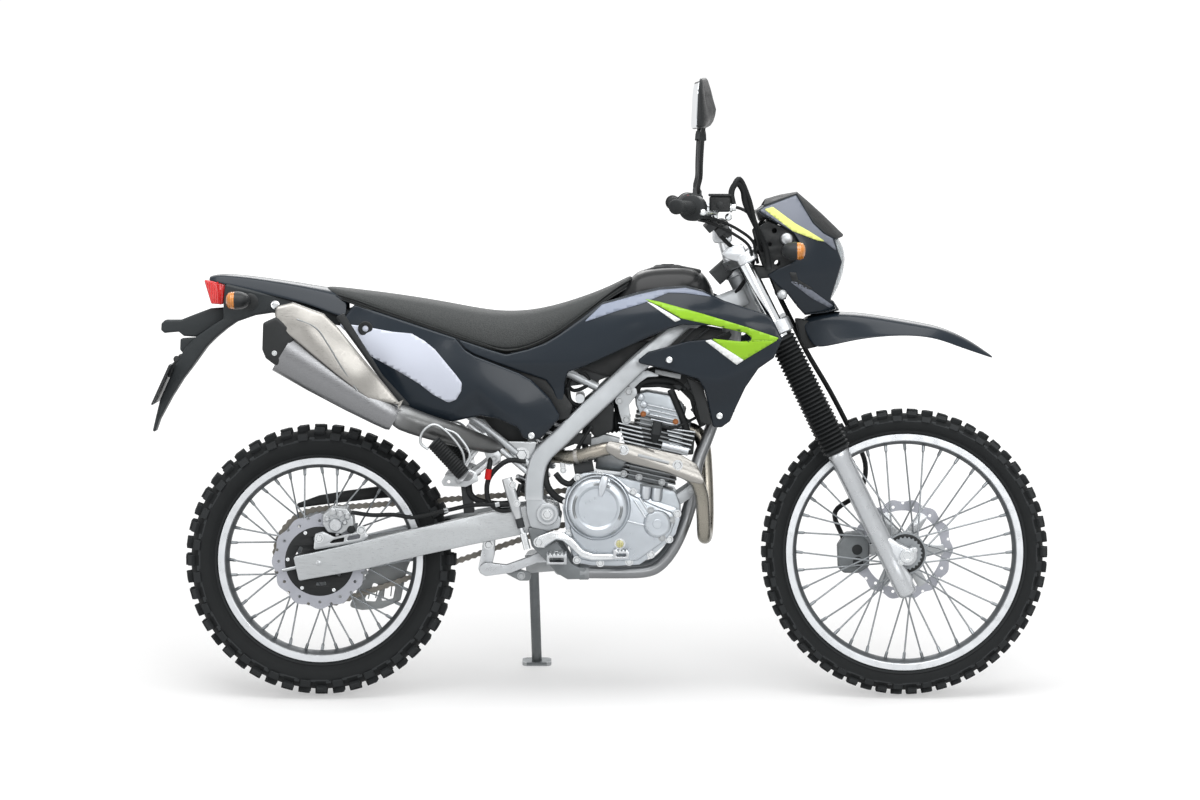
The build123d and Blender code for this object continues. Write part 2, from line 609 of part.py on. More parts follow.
def cylinder():
    """Finned barrel, finned head and rocker cover, tilted forward with the bore."""
    barrel = BARREL_FINS * FIN_PITCH
    head = barrel + HEAD_FINS * FIN_PITCH
    body = extrude(cylinder_plane() * Rectangle(96, 100), head + 4)
    fins = [extrude(cylinder_plane(8 + FIN_PITCH * i) * RectangleRounded(132, 140, 16),
                    3) for i in range(BARREL_FINS)]
    fins += [extrude(cylinder_plane(barrel + 6 + FIN_PITCH * i) * RectangleRounded(122, 128, 14), 3.4)
             for i in range(HEAD_FINS)]
    cover = extrude(cylinder_plane(head + 2) * RectangleRounded(104, 112, 12), 30)
    caps = [extrude(cylinder_plane(head + 30) * Pos(dx, 0) * Circle(20), 8) for dx in (-26, 26)]
    port = rod((810, 0, 642), (862, 0, 632), 24)
    return body + fins + [cover] + caps + [port]


PORT = (862.6, 631.9)  # x, z of the exhaust port's mouth
KNEE_SHARE = 0.48  # header's foremost place, as a share of the way from the port to the front tyre


def header_pipe(radius):
    """Header from the port down in front of the engine, back along its right side and up to the muffler."""
    room = FRONT["x"] - FRONT["tyre"] - PORT[0]
    knee = PORT[0] + KNEE_SHARE * room
    header = [(PORT[0], 0, PORT[1]), (PORT[0] + 0.21 * room, 0, 624.7), (knee - 6, -2, 570), (knee, -26, 470),
              (knee - 18, -72, 392), (knee - 46, -118, 394), (knee - 46, -134, 516), (684, -146, 596),
              (560, -142, 566), (420, -146, 574), (254, -176, 615.8), (197.2, -176, 650.4)]
    return pipe(header, radius, [15, 50, 50, 34, 24, 30, 60, 60, 60, 40])


def exhaust_header():
    return header_pipe(16)


def exhaust_shields():
    """Heat shield over the header and the bright cover on the muffler."""
    shape = [(673, 601), (683, 610), (750, 598), (852, 575), (886, 555), (905, 518), (899, 508), (869, 515),
             (819, 538), (736, 558), (703, 568), (676, 585)]
    axis = (920, -133, 509.4), (660, -147.3, 604.8)
    shield = (rod(*axis, 22) & slab(shape, -190, -142)) - rod(*axis, 19) - header_pipe(16.3)
    outline = [(-108, 920), (-65, 932), (-10, 905), (40, 872), (75, 835), (100, 800), (145, 752), (192, 684),
               (110, 702), (0, 788), (-95, 866)]
    cover = slab(outline, -226, -222)
    return shield + cover


def muffler():
    """Oval can rising to the rear, its end cap and its inlet cone."""
    start, end = Vector(178, -176, 662), Vector(-118, -176, 842)
    line = (end - start).normalized()
    place = Plane(origin=start, x_dir=(0, 1, 0), z_dir=line)
    can = extrude(place * Ellipse(46, 62), (end - start).length)
    cone = rod(start - line * 22, start + line * 2, 34)
    return can + cone


def chain():
    """Closed loop of the chain's outer shape round both sprockets."""
    cx, cz = COUNTERSHAFT
    dx, dz = cx - REAR["x"], cz - REAR["z"]
    gap = math.hypot(dx, dz)
    tilt = math.atan2(dz, dx)
    turn = math.asin((REAR_SPROCKET_R - FRONT_SPROCKET_R) / gap)

    def loop(grow):
        big, small = REAR_SPROCKET_R + grow, FRONT_SPROCKET_R + grow
        out = []
        for steps, r, x, z, a0, a1 in (
            (18, big, REAR["x"], REAR["z"], tilt + math.pi / 2 - turn, tilt + 1.5 * math.pi + turn),
            (6, small, cx, cz, tilt - math.pi / 2 + turn, tilt + math.pi / 2 - turn),
        ):
            for i in range(steps + 1):
                a = a0 + (a1 - a0) * i / steps
                out.append((x + r * math.cos(a), z + r * math.sin(a)))
        return out

    ring = slab(loop(7), CHAIN_Y - CHAIN_HALF, CHAIN_Y + CHAIN_HALF) - slab(loop(-7), CHAIN_Y - 20,
                                                                            CHAIN_Y + 20)
    return ring - slab(loop(4.2), CHAIN_Y - 4, CHAIN_Y + 4)


def chain_guard():
    upper = slab([(-60, 452), (0, 466), (140, 488), (170, 478), (170, 462), (0, 446), (-62, 440)], 50, 88)
    upper += slab([(146, 466), (170, 466), (172, 388.9), (150, 383.3)], 84, 88)
    guide = slab([(60, 200), (95, 262), (120, 309.4), (205, 329.3), (200, 292), (180, 215), (140, 200)], 78, 90)
    return upper + guide


def shock_absorber():
    spring = rod((480, 0, 478), (588, 0, 676), 34)
    eyes = [rod((469, 0, 458), (488, 0, 492), 11), across(469, 457.5, 12, -14, 14),
            rod((580, 0, 661), (598, 0, 693), 9)]
    rocker = both(slab([(378, 292), (400, 290), (412, 355), (404, 374), (382, 368)], 22.3, 34))
    pull = slab([(376, 290), (551.5, 300), (551.5, 318), (376, 316)], -21.5, 21.5) + across(389, 303, 9, -34,
                                                                                            34)
    return spring + eyes + (rocker + pull)


def rear_caliper():
    body = slab([(18, 382), (22, 438), (80, 442), (84, 392), (60, 378)], REAR_DISC_Y - 22, REAR_DISC_Y + 20)
    body += slab([(0, 345.2), (100, 370.6), (84, 396), (22, 392)], REAR_DISC_Y - 32, REAR_DISC_Y - 22)
    slot = across(REAR["x"], REAR["z"], REAR_DISC_R + 3, REAR_DISC_Y - 4.5, REAR_DISC_Y + 4.5)
    return body - slot


def foot_controls():
    pedal = pipe([(515, -132, 372), (575, -136, 392), (630, -136, 345), (722, -136, 337)], 7, [30, 30])
    step = Pos(735, -136, 339) * Box(34, 34, 15)
    cylinder_body = beam((441.7, -114, 520), (487.7, -114, 362), 22, 20)
    pedal += across(515, 372, 10, -139, -120.3)
    gear = across(666, 330, 7, 92.3, 134) + rod((666, 128, 330), (756, 142, 344), 6) + across(752, 344, 9, 132,
                                                                                              168)
    return pedal + [step, cylinder_body, gear]


def footpegs():
    pieces = []
    for side in (-1, 1):
        peg = Pos(560, side * 172, 338) * Box(46, 92, 24)
        pegs_rear = rod((334, side * 158.5, 548), (300, side * 205, 585), 18)
        pieces += [peg, pegs_rear]
    return pieces[0] + pieces[1:]


def airbox():
    box = slab([(340, 660), (455, 650), (500, 722), (640, 740), (700, 764), (700, 800), (560, 794),
                (330, 800)], -58.7, 58.7)
    return box


# ---------------------------------------------------------------- bodywork
def fuel_tank():
    outline = [(640, 902), (650, 862), (735, 824), (748, 822), (866, 913), (925, 941), (915, 985), (885, 1015),
               (850, 1015), (800, 1012), (750, 1003), (736, 990), (730.4, 961.8), (700, 941.4), (650, 910.4)]
    half = [(630, 55), (700, 84), (800, 104), (870, 98), (905, 70), (925, 40)]
    body = slab(outline, -110, 110) & mirrored_plan(half)
    cap = extrude(Plane.XY.offset(1004) * Pos(820, 0) * Circle(34), 22)
    return body + cap


SEAT_TABLE = [  # x, half width, top, bottom
    (10, 48, 966, 948), (100, 88, 958, 915), (200, 104, 945, 880), (300, 112, 928, 850), (400, 106, 911, 815),
    (500, 86, 910, 820), (600, 74, 934, 880), (700, 66, 973, 942), (730, 58, 990, 962),
]


def seat():
    sections = []
    for x, half, top, low in SEAT_TABLE:
        drop = (top - low) * 0.3
        sections.append([(x, -half, low), (x, -half, top - drop), (x, -half * 0.72, top - drop * 0.2),
                         (x, 0, top),
                         (x, half * 0.72, top - drop * 0.2), (x, half, top - drop), (x, half, low)])
    return skin(sections)


SHROUD_SIDE = [
    (320, 838), (400, 813), (445, 805), (500, 815), (550, 838), (575, 855), (600, 875), (618, 886), (665, 930),
    (750, 955), (800, 967), (860, 972), (900, 962), (950, 938), (1000, 922), (1050, 906), (1064, 893), (1085,
                                                                                                        850),
    (1065, 805), (1030, 780), (1000, 735), (975, 680), (965, 655), (945, 640), (925, 640), (915, 690), (905,
                                                                                                        730),
    (890, 755), (822, 772), (748, 790), (777, 820), (867, 844), (921, 847), (988, 841), (1005, 843), (1012,
                                                                                                      851),
    (1000, 861), (921, 879), (852, 880), (822, 871), (777, 852), (623, 781), (580, 765), (572, 740), (570, 700),
    (575, 655), (562, 640), (555, 652), (560, 690), (533, 742), (502, 754), (470, 769), (366, 807), (350, 816),
]
SHROUD_PLAN = [(300, 128), (480, 131), (560, 134.4), (640, 138), (760, 150), (900, 176), (1000, 188),
               (1090, 192)]


def shrouds():
    return both(slab(SHROUD_SIDE, 60, 200) & band(SHROUD_PLAN, 14))


COVER_SIDE = [
    (90, 905), (200, 872), (320, 838), (350, 811), (365, 802), (470, 764), (500, 744), (528, 738), (554,
                                                                                                    682), (550,
                                                                                                           655),
    (530, 625), (512, 605), (500, 598), (490, 605), (470, 630), (430, 645), (380, 658), (340, 655), (300, 650),
    (250, 665), (205, 675), (195, 685), (145, 755), (50, 878),
]
COVER_PLAN = [(40, 96), (120, 118), (220, 140), (340, 152), (440, 146), (570, 138)]


def side_covers():
    return both((slab(COVER_SIDE, 60, 200) & band(COVER_PLAN, 12)) + across(325, 674, 8, 105.2, 141))


def tail_cowl():
    outline = [(-263, 990), (-255, 997), (-200, 996), (-100, 983), (0, 967), (8, 946), (60, 898), (0, 905),
               (-50, 925),
               (-100, 940), (-225, 975)]
    half = [(-268, 30), (-255, 42), (-120, 62), (0, 84), (70, 92)]
    return slab(outline, -95, 95) & mirrored_plan(half)


PLATE_TOP, PLATE_FOOT = (-350.5, 783.0), (-390.5, 690.0)  # x, z of the number plate's middle plane
PLATE_THICK = 3.0
PLATE_WIDE = 200.0
PLATE_HOLE_R = 3.5
PLATE_HOLE_DROP = 14.0  # below the plate's upper edge
PLATE_HOLE_Y = 70.0


def plate_hole(side):
    """Cutter for one bolt hole of the number plate."""
    top, foot = Vector(PLATE_TOP[0], 0, PLATE_TOP[1]), Vector(PLATE_FOOT[0], 0, PLATE_FOOT[1])
    down = (foot - top).normalized()
    normal = Vector(down.Z, 0, -down.X)
    middle = top + down * PLATE_HOLE_DROP + Vector(0, side * PLATE_HOLE_Y, 0)
    return rod(middle - normal * PLATE_THICK, middle + normal * PLATE_THICK, PLATE_HOLE_R)


def rear_fender():
    outline = [(60, 890), (0, 900), (-60, 920), (-222, 970), (-225, 925), (-225, 890), (-290, 848),
               (-330, 812), (-310, 800),
               (-345, 745), (-378, 680), (-390, 627), (-375, 655), (-350, 705), (-325, 745), (-300,
                                                                                              775), (-280, 800),
               (-270, 820), (-250, 845), (-225, 868), (-200, 885), (-150, 897), (-110, 902), (0, 880), (60,
                                                                                                        870)]
    body = slab(outline, -62, 62) + slab([(-326, 764), (-367, 745), (-373, 730), (-332, 742)], -20, 20)
    arm = slab([(-225, 918), (-250, 917), (-325, 888), (-370, 886), (-377, 873), (-370, 858), (-330, 856),
                (-290, 848),
                (-228, 892)], -28, 28)
    plate = beam((PLATE_TOP[0], 0, PLATE_TOP[1]), (PLATE_FOOT[0], 0, PLATE_FOOT[1]), PLATE_THICK, PLATE_WIDE)
    return body + arm + plate - [plate_hole(side) for side in (-1, 1)]


def tail_light():
    return slab([(-271, 984), (-227, 975), (-225.5, 925), (-253, 927)], -42, 42)


def rear_indicators():
    pieces = []
    for side in (-1, 1):
        lamp = indicator(-200, 935, 118, side, (-207, -178), (-224, -207), 30, 20)
        stem = rod((-190, side * 62.3, 935), (-190, side * 92, 935), 8)
        pieces.append(lamp + stem)
    return pieces[0] + pieces[1]


# ---------------------------------------------------------------- side stand
STAND_PIVOT = (500.0, 138.0, 308.0)
STAND_FOOT = (506.0, 272.0)  # x, y of the foot
STAND_FOLDED = (-1.0, 0.06, 0.06)  # way the leg points when it is folded
STAND_PIN_R = 6.0
STAND_LEG_R = 12.0
EYE_HALF = 14.0  # half the length of the leg's eye along its pin
EYE_SIDE = 0.8  # gap beside the eye
STAND_LUG = [(482, 278), (560, 288), (560, 330), (504, 332), (482, 320)]


def ground_height():
    """Lowest point of the leaned tyres, measured square to the ground from the upright contact line."""
    lean = math.radians(LEAN)
    return min((w["z"] - w["tyre"]) * math.cos(lean) - w["crown"] * math.sin(lean) for w in (REAR, FRONT))


def stand_foot():
    lean = math.radians(LEAN)
    x, y = STAND_FOOT
    return Vector(x, y, (ground_height() + y * math.sin(lean)) / math.cos(lean))


def on_stand_axis(radius, low, high):
    """Round piece about the stand's pin, from low to high along it, 0 being the middle of the eye."""
    leg = stand_foot() - Vector(*STAND_PIVOT)
    axis = leg.cross(Vector(*STAND_FOLDED)).normalized()
    return rod(Vector(*STAND_PIVOT) + axis * low, Vector(*STAND_PIVOT) + axis * high, radius)


def side_stand():
    lean = math.radians(LEAN)
    up = Vector(0, -math.sin(lean), math.cos(lean))
    foot, pivot = stand_foot(), Vector(*STAND_PIVOT)
    pad = extrude(Plane(origin=foot, x_dir=(1, 0, 0), z_dir=up) * RectangleRounded(70, 46, 12), 9)
    leg = rod(foot + up * 6, pivot + (foot - pivot).normalized() * 16, STAND_LEG_R)
    eye = on_stand_axis(20, -EYE_HALF, EYE_HALF)
    return pad + leg + eye - on_stand_axis(STAND_PIN_R + FIT, -EYE_HALF - 5, EYE_HALF + 5)


# ---------------------------------------------------------------- nodes
MAKERS = {
    "frame": frame, "subframe": subframe, "swingarm": swingarm, "crankcase": engine,
    "engine_covers": engine_covers,
    "cylinder": cylinder, "exhaust_header": exhaust_header, "exhaust_shields": exhaust_shields,
    "muffler": muffler,
    "fuel_tank": fuel_tank, "shrouds": shrouds, "side_covers": side_covers, "seat": seat,
    "tail_cowl": tail_cowl,
    "rear_fender": rear_fender, "tail_light": tail_light, "rear_indicators": rear_indicators, "chain": chain,
    "chain_guard": chain_guard, "shock_absorber": shock_absorber, "rear_caliper": rear_caliper,
    "foot_controls": foot_controls, "footpegs": footpegs, "airbox": airbox,
    "fork_tubes": fork_tubes, "fork_boots": fork_boots, "fork_sliders": fork_sliders,
    "triple_clamps": triple_clamps,
    "handlebar": handlebar, "grips": grips, "controls": controls, "mirrors": mirrors,
    "headlight_cowl": headlight_cowl,
    "headlight": headlight, "front_indicators": front_indicators, "front_fender": front_fender,
    "front_caliper": front_caliper, "brake_hose": brake_hose,
    "front_tyre": lambda: tyre(FRONT), "front_rim": lambda: rim(FRONT), "front_hub": lambda: hub(FRONT),
    "front_disc": lambda: disc(FRONT, FRONT_DISC_R, 92.0, FRONT_DISC_Y, 6, 20.0),
    "rear_tyre": lambda: tyre(REAR), "rear_rim": lambda: rim(REAR), "rear_hub": lambda: hub(REAR),
    "rear_disc": lambda: disc(REAR, REAR_DISC_R, 74.0, REAR_DISC_Y, 6, 20.0),
    "rear_sprocket": rear_sprocket, "side_stand": side_stand,
}


def main():
    os.makedirs("parts", exist_ok=True)
    upright = {name: make() for name, make in MAKERS.items()}
    leaned = {name: Rot(-LEAN, 0, 0) * piece for name, piece in upright.items()}
    boxes = [piece.bounding_box() for piece in leaned.values()]
    low = [min(getattr(b.min, a) for b in boxes) for a in "XYZ"]
    high = [max(getattr(b.max, a) for b in boxes) for a in "XYZ"]
    shift = Pos(-(low[0] + high[0]) / 2, -(low[1] + high[1]) / 2, -low[2])
    print("shift", -(low[0] + high[0]) / 2, -(low[1] + high[1]) / 2, -low[2])
    print("size", [h - l for l, h in zip(low, high)])
    for name, piece in leaned.items():
        export_step(shift * piece, os.path.join("parts", name + ".step"))


main()
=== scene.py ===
"""Looks of the dual sport motorcycle, parked on its side stand.

Pieces are drawn on the upright motorcycle in millimetres, X forward from the rear axle, Y to the rider's left and
Z up from the ground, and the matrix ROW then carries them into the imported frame. Outlines are lists of (x, z) seen
from the side; profiles are lists of (radius, distance along the axis).
"""

import bmesh
import bpy
import json
import math
import numpy as np
from mathutils import Matrix, Vector


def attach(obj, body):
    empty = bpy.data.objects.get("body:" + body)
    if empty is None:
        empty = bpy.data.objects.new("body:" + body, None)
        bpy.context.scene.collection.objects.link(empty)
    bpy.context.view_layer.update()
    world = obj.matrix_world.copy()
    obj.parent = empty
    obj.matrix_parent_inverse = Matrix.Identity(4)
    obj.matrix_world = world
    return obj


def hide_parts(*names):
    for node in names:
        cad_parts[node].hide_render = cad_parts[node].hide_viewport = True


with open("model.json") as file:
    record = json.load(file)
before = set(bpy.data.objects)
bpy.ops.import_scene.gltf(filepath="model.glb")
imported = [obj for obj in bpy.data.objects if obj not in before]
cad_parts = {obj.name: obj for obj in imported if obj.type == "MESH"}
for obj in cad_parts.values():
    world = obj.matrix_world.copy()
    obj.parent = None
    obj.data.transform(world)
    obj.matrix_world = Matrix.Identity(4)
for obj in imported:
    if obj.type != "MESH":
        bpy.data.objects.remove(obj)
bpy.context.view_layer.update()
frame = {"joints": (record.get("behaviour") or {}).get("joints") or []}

LEAN = 10.0
RAKE = math.radians(26.342)
REAR_AXLE = (0.0, 321.0)
FRONT_AXLE = (1380.0, 339.0)
ARM_PIVOT = (537.0, 436.0)
COUNTERSHAFT = (603.0, 445.0)
FORK_TOP = (994.6, 1033.3)
FORK_SPREAD = 100.0
STEM_BEHIND = 25.0  # the steering axis lies this far behind the plane of the legs

JOINTS = {joint["name"]: joint for joint in frame["joints"]}
TURN = Matrix.Rotation(-math.radians(LEAN), 4, "X")
AXLE_AT = Vector(JOINTS["rear_wheel_spin"]["pos_m"])
ROW = Matrix.Translation(AXLE_AT - TURN @ Vector((0, 0, REAR_AXLE[1] / 1000))) @ TURN @ Matrix.Scale(0.001, 4)

LEFT, RIGHT = 1, -1
SIDES = ((LEFT, "left"), (RIGHT, "right"))
ACROSS = Vector((0, 1, 0))


# ---------------------------------------------------------------- materials
def srgb(text):
    """Linear colour of a #RRGGBB name."""
    values = [int(text[i:i + 2], 16) / 255 for i in (1, 3, 5)]
    return [v / 12.92 if v <= 0.04045 else ((v + 0.055) / 1.055) ** 2.4 for v in values] + [1.0]


class Shader:
    """Small wrapper that builds a node tree on one Principled shader."""

    def __init__(self, name, colour, rough=0.5, metal=0.0, coat=0.0, **sockets):
        self.material = bpy.data.materials.new(name)
        self.material.use_nodes = True
        self.nodes = self.material.node_tree.nodes
        self.links = self.material.node_tree.links
        self.bsdf = self.nodes["Principled BSDF"]
        self.colour = srgb(colour)
        self.height = None
        self.set("Base Color", self.colour)
        self.set("Roughness", rough)
        self.set("Metallic", metal)
        self.set("Coat Weight", coat)
        self.set("Coat Roughness", 0.05)
        for key, value in sockets.items():
            self.set(key.replace("_", " "), value)
        self.material.diffuse_color = self.colour

    def set(self, socket, value):
        self.bsdf.inputs[socket].default_value = value

    def add(self, kind, **settings):
        node = self.nodes.new(kind)
        for key, value in settings.items():
            if key in node.inputs:
                node.inputs[key].default_value = value
            else:
                setattr(node, key, value)
        return node

    def where(self, stretch=(1, 1, 1)):
        coord = self.add("ShaderNodeTexCoord")
        mapping = self.add("ShaderNodeMapping", Scale=stretch)
        self.links.new(coord.outputs["Object"], mapping.inputs["Vector"])
        return mapping.outputs["Vector"]

    def noise(self, scale, detail=4.0, stretch=(1, 1, 1)):
        node = self.add("ShaderNodeTexNoise", Scale=scale, Detail=detail)
        self.links.new(self.where(stretch), node.inputs["Vector"])
        return node.outputs["Fac"]

    def grain(self, scale):
        node = self.add("ShaderNodeTexVoronoi", Scale=scale)
        self.links.new(self.where(), node.inputs["Vector"])
        return node.outputs["Distance"]

    def ramp(self, source, low, high, start=0.3, end=0.7):
        node = self.add("ShaderNodeMapRange")
        for socket, value in (("From Min", start), ("From Max", end), ("To Min", low), ("To Max", high)):
            node.inputs[socket].default_value = value
        self.links.new(source, node.inputs["Value"])
        return node.outputs["Result"]

    def mix(self, factor, start, end):
        """Base colour runs from start, a colour or a socket, to the colour end."""
        mix = self.add("ShaderNodeMix", data_type="RGBA")
        if isinstance(start, bpy.types.NodeSocket):
            self.links.new(start, mix.inputs["A"])
        else:
            mix.inputs["A"].default_value = start
        mix.inputs["B"].default_value = end
        self.links.new(factor, mix.inputs["Factor"])
        self.links.new(mix.outputs["Result"], self.bsdf.inputs["Base Color"])
        return self

    def vary(self, source, darker, lighter):
        """Base colour runs between two shades with source."""
        return self.mix(source, *([min(1, c * shade) for c in self.colour[:3]] + [1] for shade in (darker, lighter)))

    def rough(self, source, low, high):
        self.links.new(self.ramp(source, low, high), self.bsdf.inputs["Roughness"])
        return self

    def bump(self, source, depth):
        """Surface relief, depth in metres; several calls add up."""
        node = self.add("ShaderNodeBump", Distance=depth, Strength=1.0)
        self.links.new(source, node.inputs["Height"])
        if self.height:
            self.links.new(self.height, node.inputs["Normal"])
        self.height = node.outputs["Normal"]
        self.links.new(self.height, self.bsdf.inputs["Normal"])
        return self

    def pale_edges(self, colour, amount=0.5):
        """Convex edges lighten towards a paler colour."""
        geometry = self.add("ShaderNodeNewGeometry")
        edge = self.ramp(geometry.outputs["Pointiness"], 0.0, amount, 0.52, 0.62)
        return self.mix(edge, self.bsdf.inputs["Base Color"].links[0].from_socket, srgb(colour))


def gloss_paint(name, colour, rough=0.26):
    s = Shader(name, colour, rough, 0.0, 0.1, Specular_IOR_Level=0.2)
    s.vary(s.noise(6), 0.92, 1.08)
    return s.bump(s.noise(180, 2), 0.00004).material


def moulded(name, colour, rough=0.5, scale=900):
    s = Shader(name, colour, rough, Specular_IOR_Level=0.25)
    s.vary(s.noise(9), 0.85, 1.15)
    s.rough(s.noise(40), rough - 0.06, rough + 0.08)
    return s.bump(s.noise(scale, 3), 0.00025).pale_edges("#55585a", 0.35).material


def cast_metal(name, colour, rough=0.42, metal=0.8, relief=0.00025):
    s = Shader(name, colour, rough, metal)
    s.vary(s.noise(14), 0.86, 1.1)
    s.rough(s.noise(60), rough - 0.07, rough + 0.1)
    return s.bump(s.noise(700, 4), relief).pale_edges("#e6e8ea", 0.4).material


def brushed(name, colour, rough=0.32, stretch=(1, 40, 40), metal=1.0):
    s = Shader(name, colour, rough, metal)
    lines = s.noise(30, 6, stretch)
    s.vary(lines, 0.8, 1.12)
    s.rough(lines, rough - 0.1, rough + 0.12)
    return s.bump(lines, 0.00008).material


def plain_metal(name, colour, rough=0.25, metal=1.0):
    s = Shader(name, colour, rough, metal)
    s.rough(s.noise(50), rough - 0.05, rough + 0.08)
    return s.vary(s.noise(20), 0.9, 1.06).material


def rubber(name, colour, rough=0.72, scale=500):
    s = Shader(name, colour, rough, Specular_IOR_Level=0.2)
    s.vary(s.noise(25), 0.8, 1.25)
    return s.bump(s.noise(scale, 3), 0.0002).pale_edges("#4b4e50", 0.5).material


def seat_vinyl(name, colour, scale):
    s = Shader(name, colour, 0.6, Specular_IOR_Level=0.25)
    cells = s.grain(scale)
    s.vary(s.ramp(cells, 0, 1, 0.1, 0.6), 0.7, 1.25)
    s.bump(cells, 0.0006)
    return s.bump(s.noise(1400, 2), 0.0001).material


def lens(name, colour, through=0.5, rough=0.08):
    s = Shader(name, colour, rough, 0.0, 0.5, Transmission_Weight=through, IOR=1.49)
    wave = s.add("ShaderNodeTexWave", Scale=60, Distortion=0.0)
    s.links.new(s.where(), wave.inputs["Vector"])
    s.vary(wave.outputs["Fac"], 0.85, 1.15)
    return s.bump(wave.outputs["Fac"], 0.0004).material


def fin_metal(name):
    """Dark faces and machined light edges of cooling fins stacked along the bore."""
    s = Shader(name, "#3a3c3e", 0.5, 0.6)
    tilt = math.radians(12.5)
    bore = TURN.to_3x3() @ Vector((math.sin(tilt), 0, math.cos(tilt)))
    geometry = s.add("ShaderNodeNewGeometry")
    dot = s.add("ShaderNodeVectorMath", operation="DOT_PRODUCT")
    dot.inputs[1].default_value = bore
    s.links.new(geometry.outputs["True Normal"], dot.inputs[0])
    flat = s.add("ShaderNodeMath", operation="ABSOLUTE")
    s.links.new(dot.outputs["Value"], flat.inputs[0])
    s.mix(s.ramp(flat.outputs[0], 0.0, 1.0, 0.2, 0.6), srgb("#8f9396"), srgb("#232527"))
    return s.bump(s.noise(700), 0.0002).material


def heat_steel(name, colour, tint):
    s = Shader(name, colour, 0.3, 1.0)
    s.mix(s.ramp(s.noise(7, 2), 0, 1, 0.35, 0.65), s.colour, srgb(tint))
    s.rough(s.noise(90), 0.22, 0.4)
    return s.bump(s.noise(300), 0.00006).material


MAT = {
    "dark": gloss_paint("dark_gloss", "#1d252d"),
    "crown": moulded("crown_black", "#080b0d", 0.55, 1500),
    # painted highlight: a pale gloss for the band where the shrouds' upper edge reflects the lamps
    "light": gloss_paint("painted_highlight_gloss", "#8d95a6", 0.3),
    # painted highlights on the mask: its pale upper face and a pale band low on its front
    "mask_painted_highlight": gloss_paint("mask_painted_highlight", "#767b86", 0.3),
    "green": gloss_paint("green_stripe", "#93c42d", 0.25),
    "white": gloss_paint("white_stripe", "#eef0f0", 0.25),
    "yellow": gloss_paint("pale_stripe", "#e3ea86", 0.25),
    "panel": gloss_paint("number_panel", "#c9cedb", 0.3),
    "tank": gloss_paint("tank_black", "#1a1b1c", 0.3),
    "plastic": moulded("moulded_black", "#242627"),
    "smooth_plastic": moulded("smooth_black", "#191b1c", 0.4, 1500),
    "grey_plastic": moulded("grey_plastic", "#2c3032"),
    "clear_guide": moulded("pale_guide", "#b4b7b8", 0.4),
    "seat": seat_vinyl("seat_top", "#3a3c3c", 420),
    "seat_side": seat_vinyl("seat_side", "#323434", 900),
    "rubber": rubber("tyre_rubber", "#191b1c"),
    "boot": rubber("boot_rubber", "#161819", 0.6, 900),
    "hose": rubber("hose_rubber", "#111314", 0.5, 1200),
    "frame": cast_metal("frame_silver", "#a9adb0", 0.4, 0.55, 0.00012),
    "casting": cast_metal("casting_grey", "#6f7375", 0.5),
    "case": cast_metal("case_silver", "#a9afb4", 0.38, 0.7),
    "cover": cast_metal("cover_silver", "#b3b9bf", 0.33, 0.75, 0.00015),
    "fins": fin_metal("fin_metal"),
    "arm": brushed("arm_brushed", "#a9acae", 0.34, (1.2, 60, 60)),
    "mid": cast_metal("mid_pipe", "#5d5e5e", 0.34, 0.8, 0.0001),
    "can": brushed("can_brushed", "#808183", 0.33, (2, 40, 40)),
    "shield": brushed("shield_brushed", "#94928e", 0.36, (3, 40, 40)),
    "header": heat_steel("header_heat", "#858279", "#928d84"),
    "rim": plain_metal("rim_polished", "#d2d5d8", 0.3),
    # painted shade: the rim's recessed well is coloured dark for the shade in it
    "well": cast_metal("rim_well_shade", "#5a5e61", 0.5),
    "spoke": plain_metal("spoke_steel", "#85898c", 0.36),
    "steel": plain_metal("plated_steel", "#a6a9ab", 0.3),
    "bright": plain_metal("bright_steel", "#d6d9db", 0.2),
    "chrome": plain_metal("hard_chrome", "#dfe2e4", 0.1),
    "slider": cast_metal("slider_silver", "#b7babd", 0.3, 0.85, 0.00008),
    "tube_grey": cast_metal("tube_grey", "#77797b", 0.35, 0.7, 0.00008),
    "disc": plain_metal("disc_steel", "#9c9ea5", 0.42),
    "black_metal": moulded("black_metal", "#191b1c", 0.35, 1200),
    "forged": cast_metal("forged_silver", "#a9acae", 0.36, 0.85, 0.0001),
    "chain": plain_metal("chain_steel", "#7d7a74", 0.42),
    "copper": plain_metal("copper_head", "#8d5c3c", 0.4),
    "amber": lens("amber_lens", "#d8841c", 0.15),
    "red": lens("red_lens", "#e01010", 0.15),
    "red_plastic": gloss_paint("red_plastic", "#c81a1a", 0.35),
    "clear": lens("clear_lens", "#dfe6ea", 0.75, 0.05),
    "mirror": plain_metal("mirror_glass", "#c8ccd0", 0.04),
    "glass_gauge": lens("gauge_glass", "#e8e2a0", 0.4),
}


# ---------------------------------------------------------------- mesh helpers
BEVEL_ANGLE = 32  # degrees between faces from which an edge is bevelled
STRAIGHT = 3.05  # radians; a flatter corner of an outline stays as it is
CORNER_SHARE = 0.48  # of an edge, at most, goes into one rounded corner
WELD = 0.01  # mm


def modify(obj, kind, **settings):
    modifier = obj.modifiers.new(kind.lower(), kind)
    for key, value in settings.items():
        setattr(modifier, key, value)


def refine(obj, levels):
    modify(obj, "SUBSURF", levels=levels, render_levels=levels)


def thicken(obj, thick, offset):
    """Give a sheet its thickness in mm; offset -1 lays it behind the sheet, 0 to both sides, 1 before it."""
    modify(obj, "SOLIDIFY", thickness=thick / 1000, offset=offset)


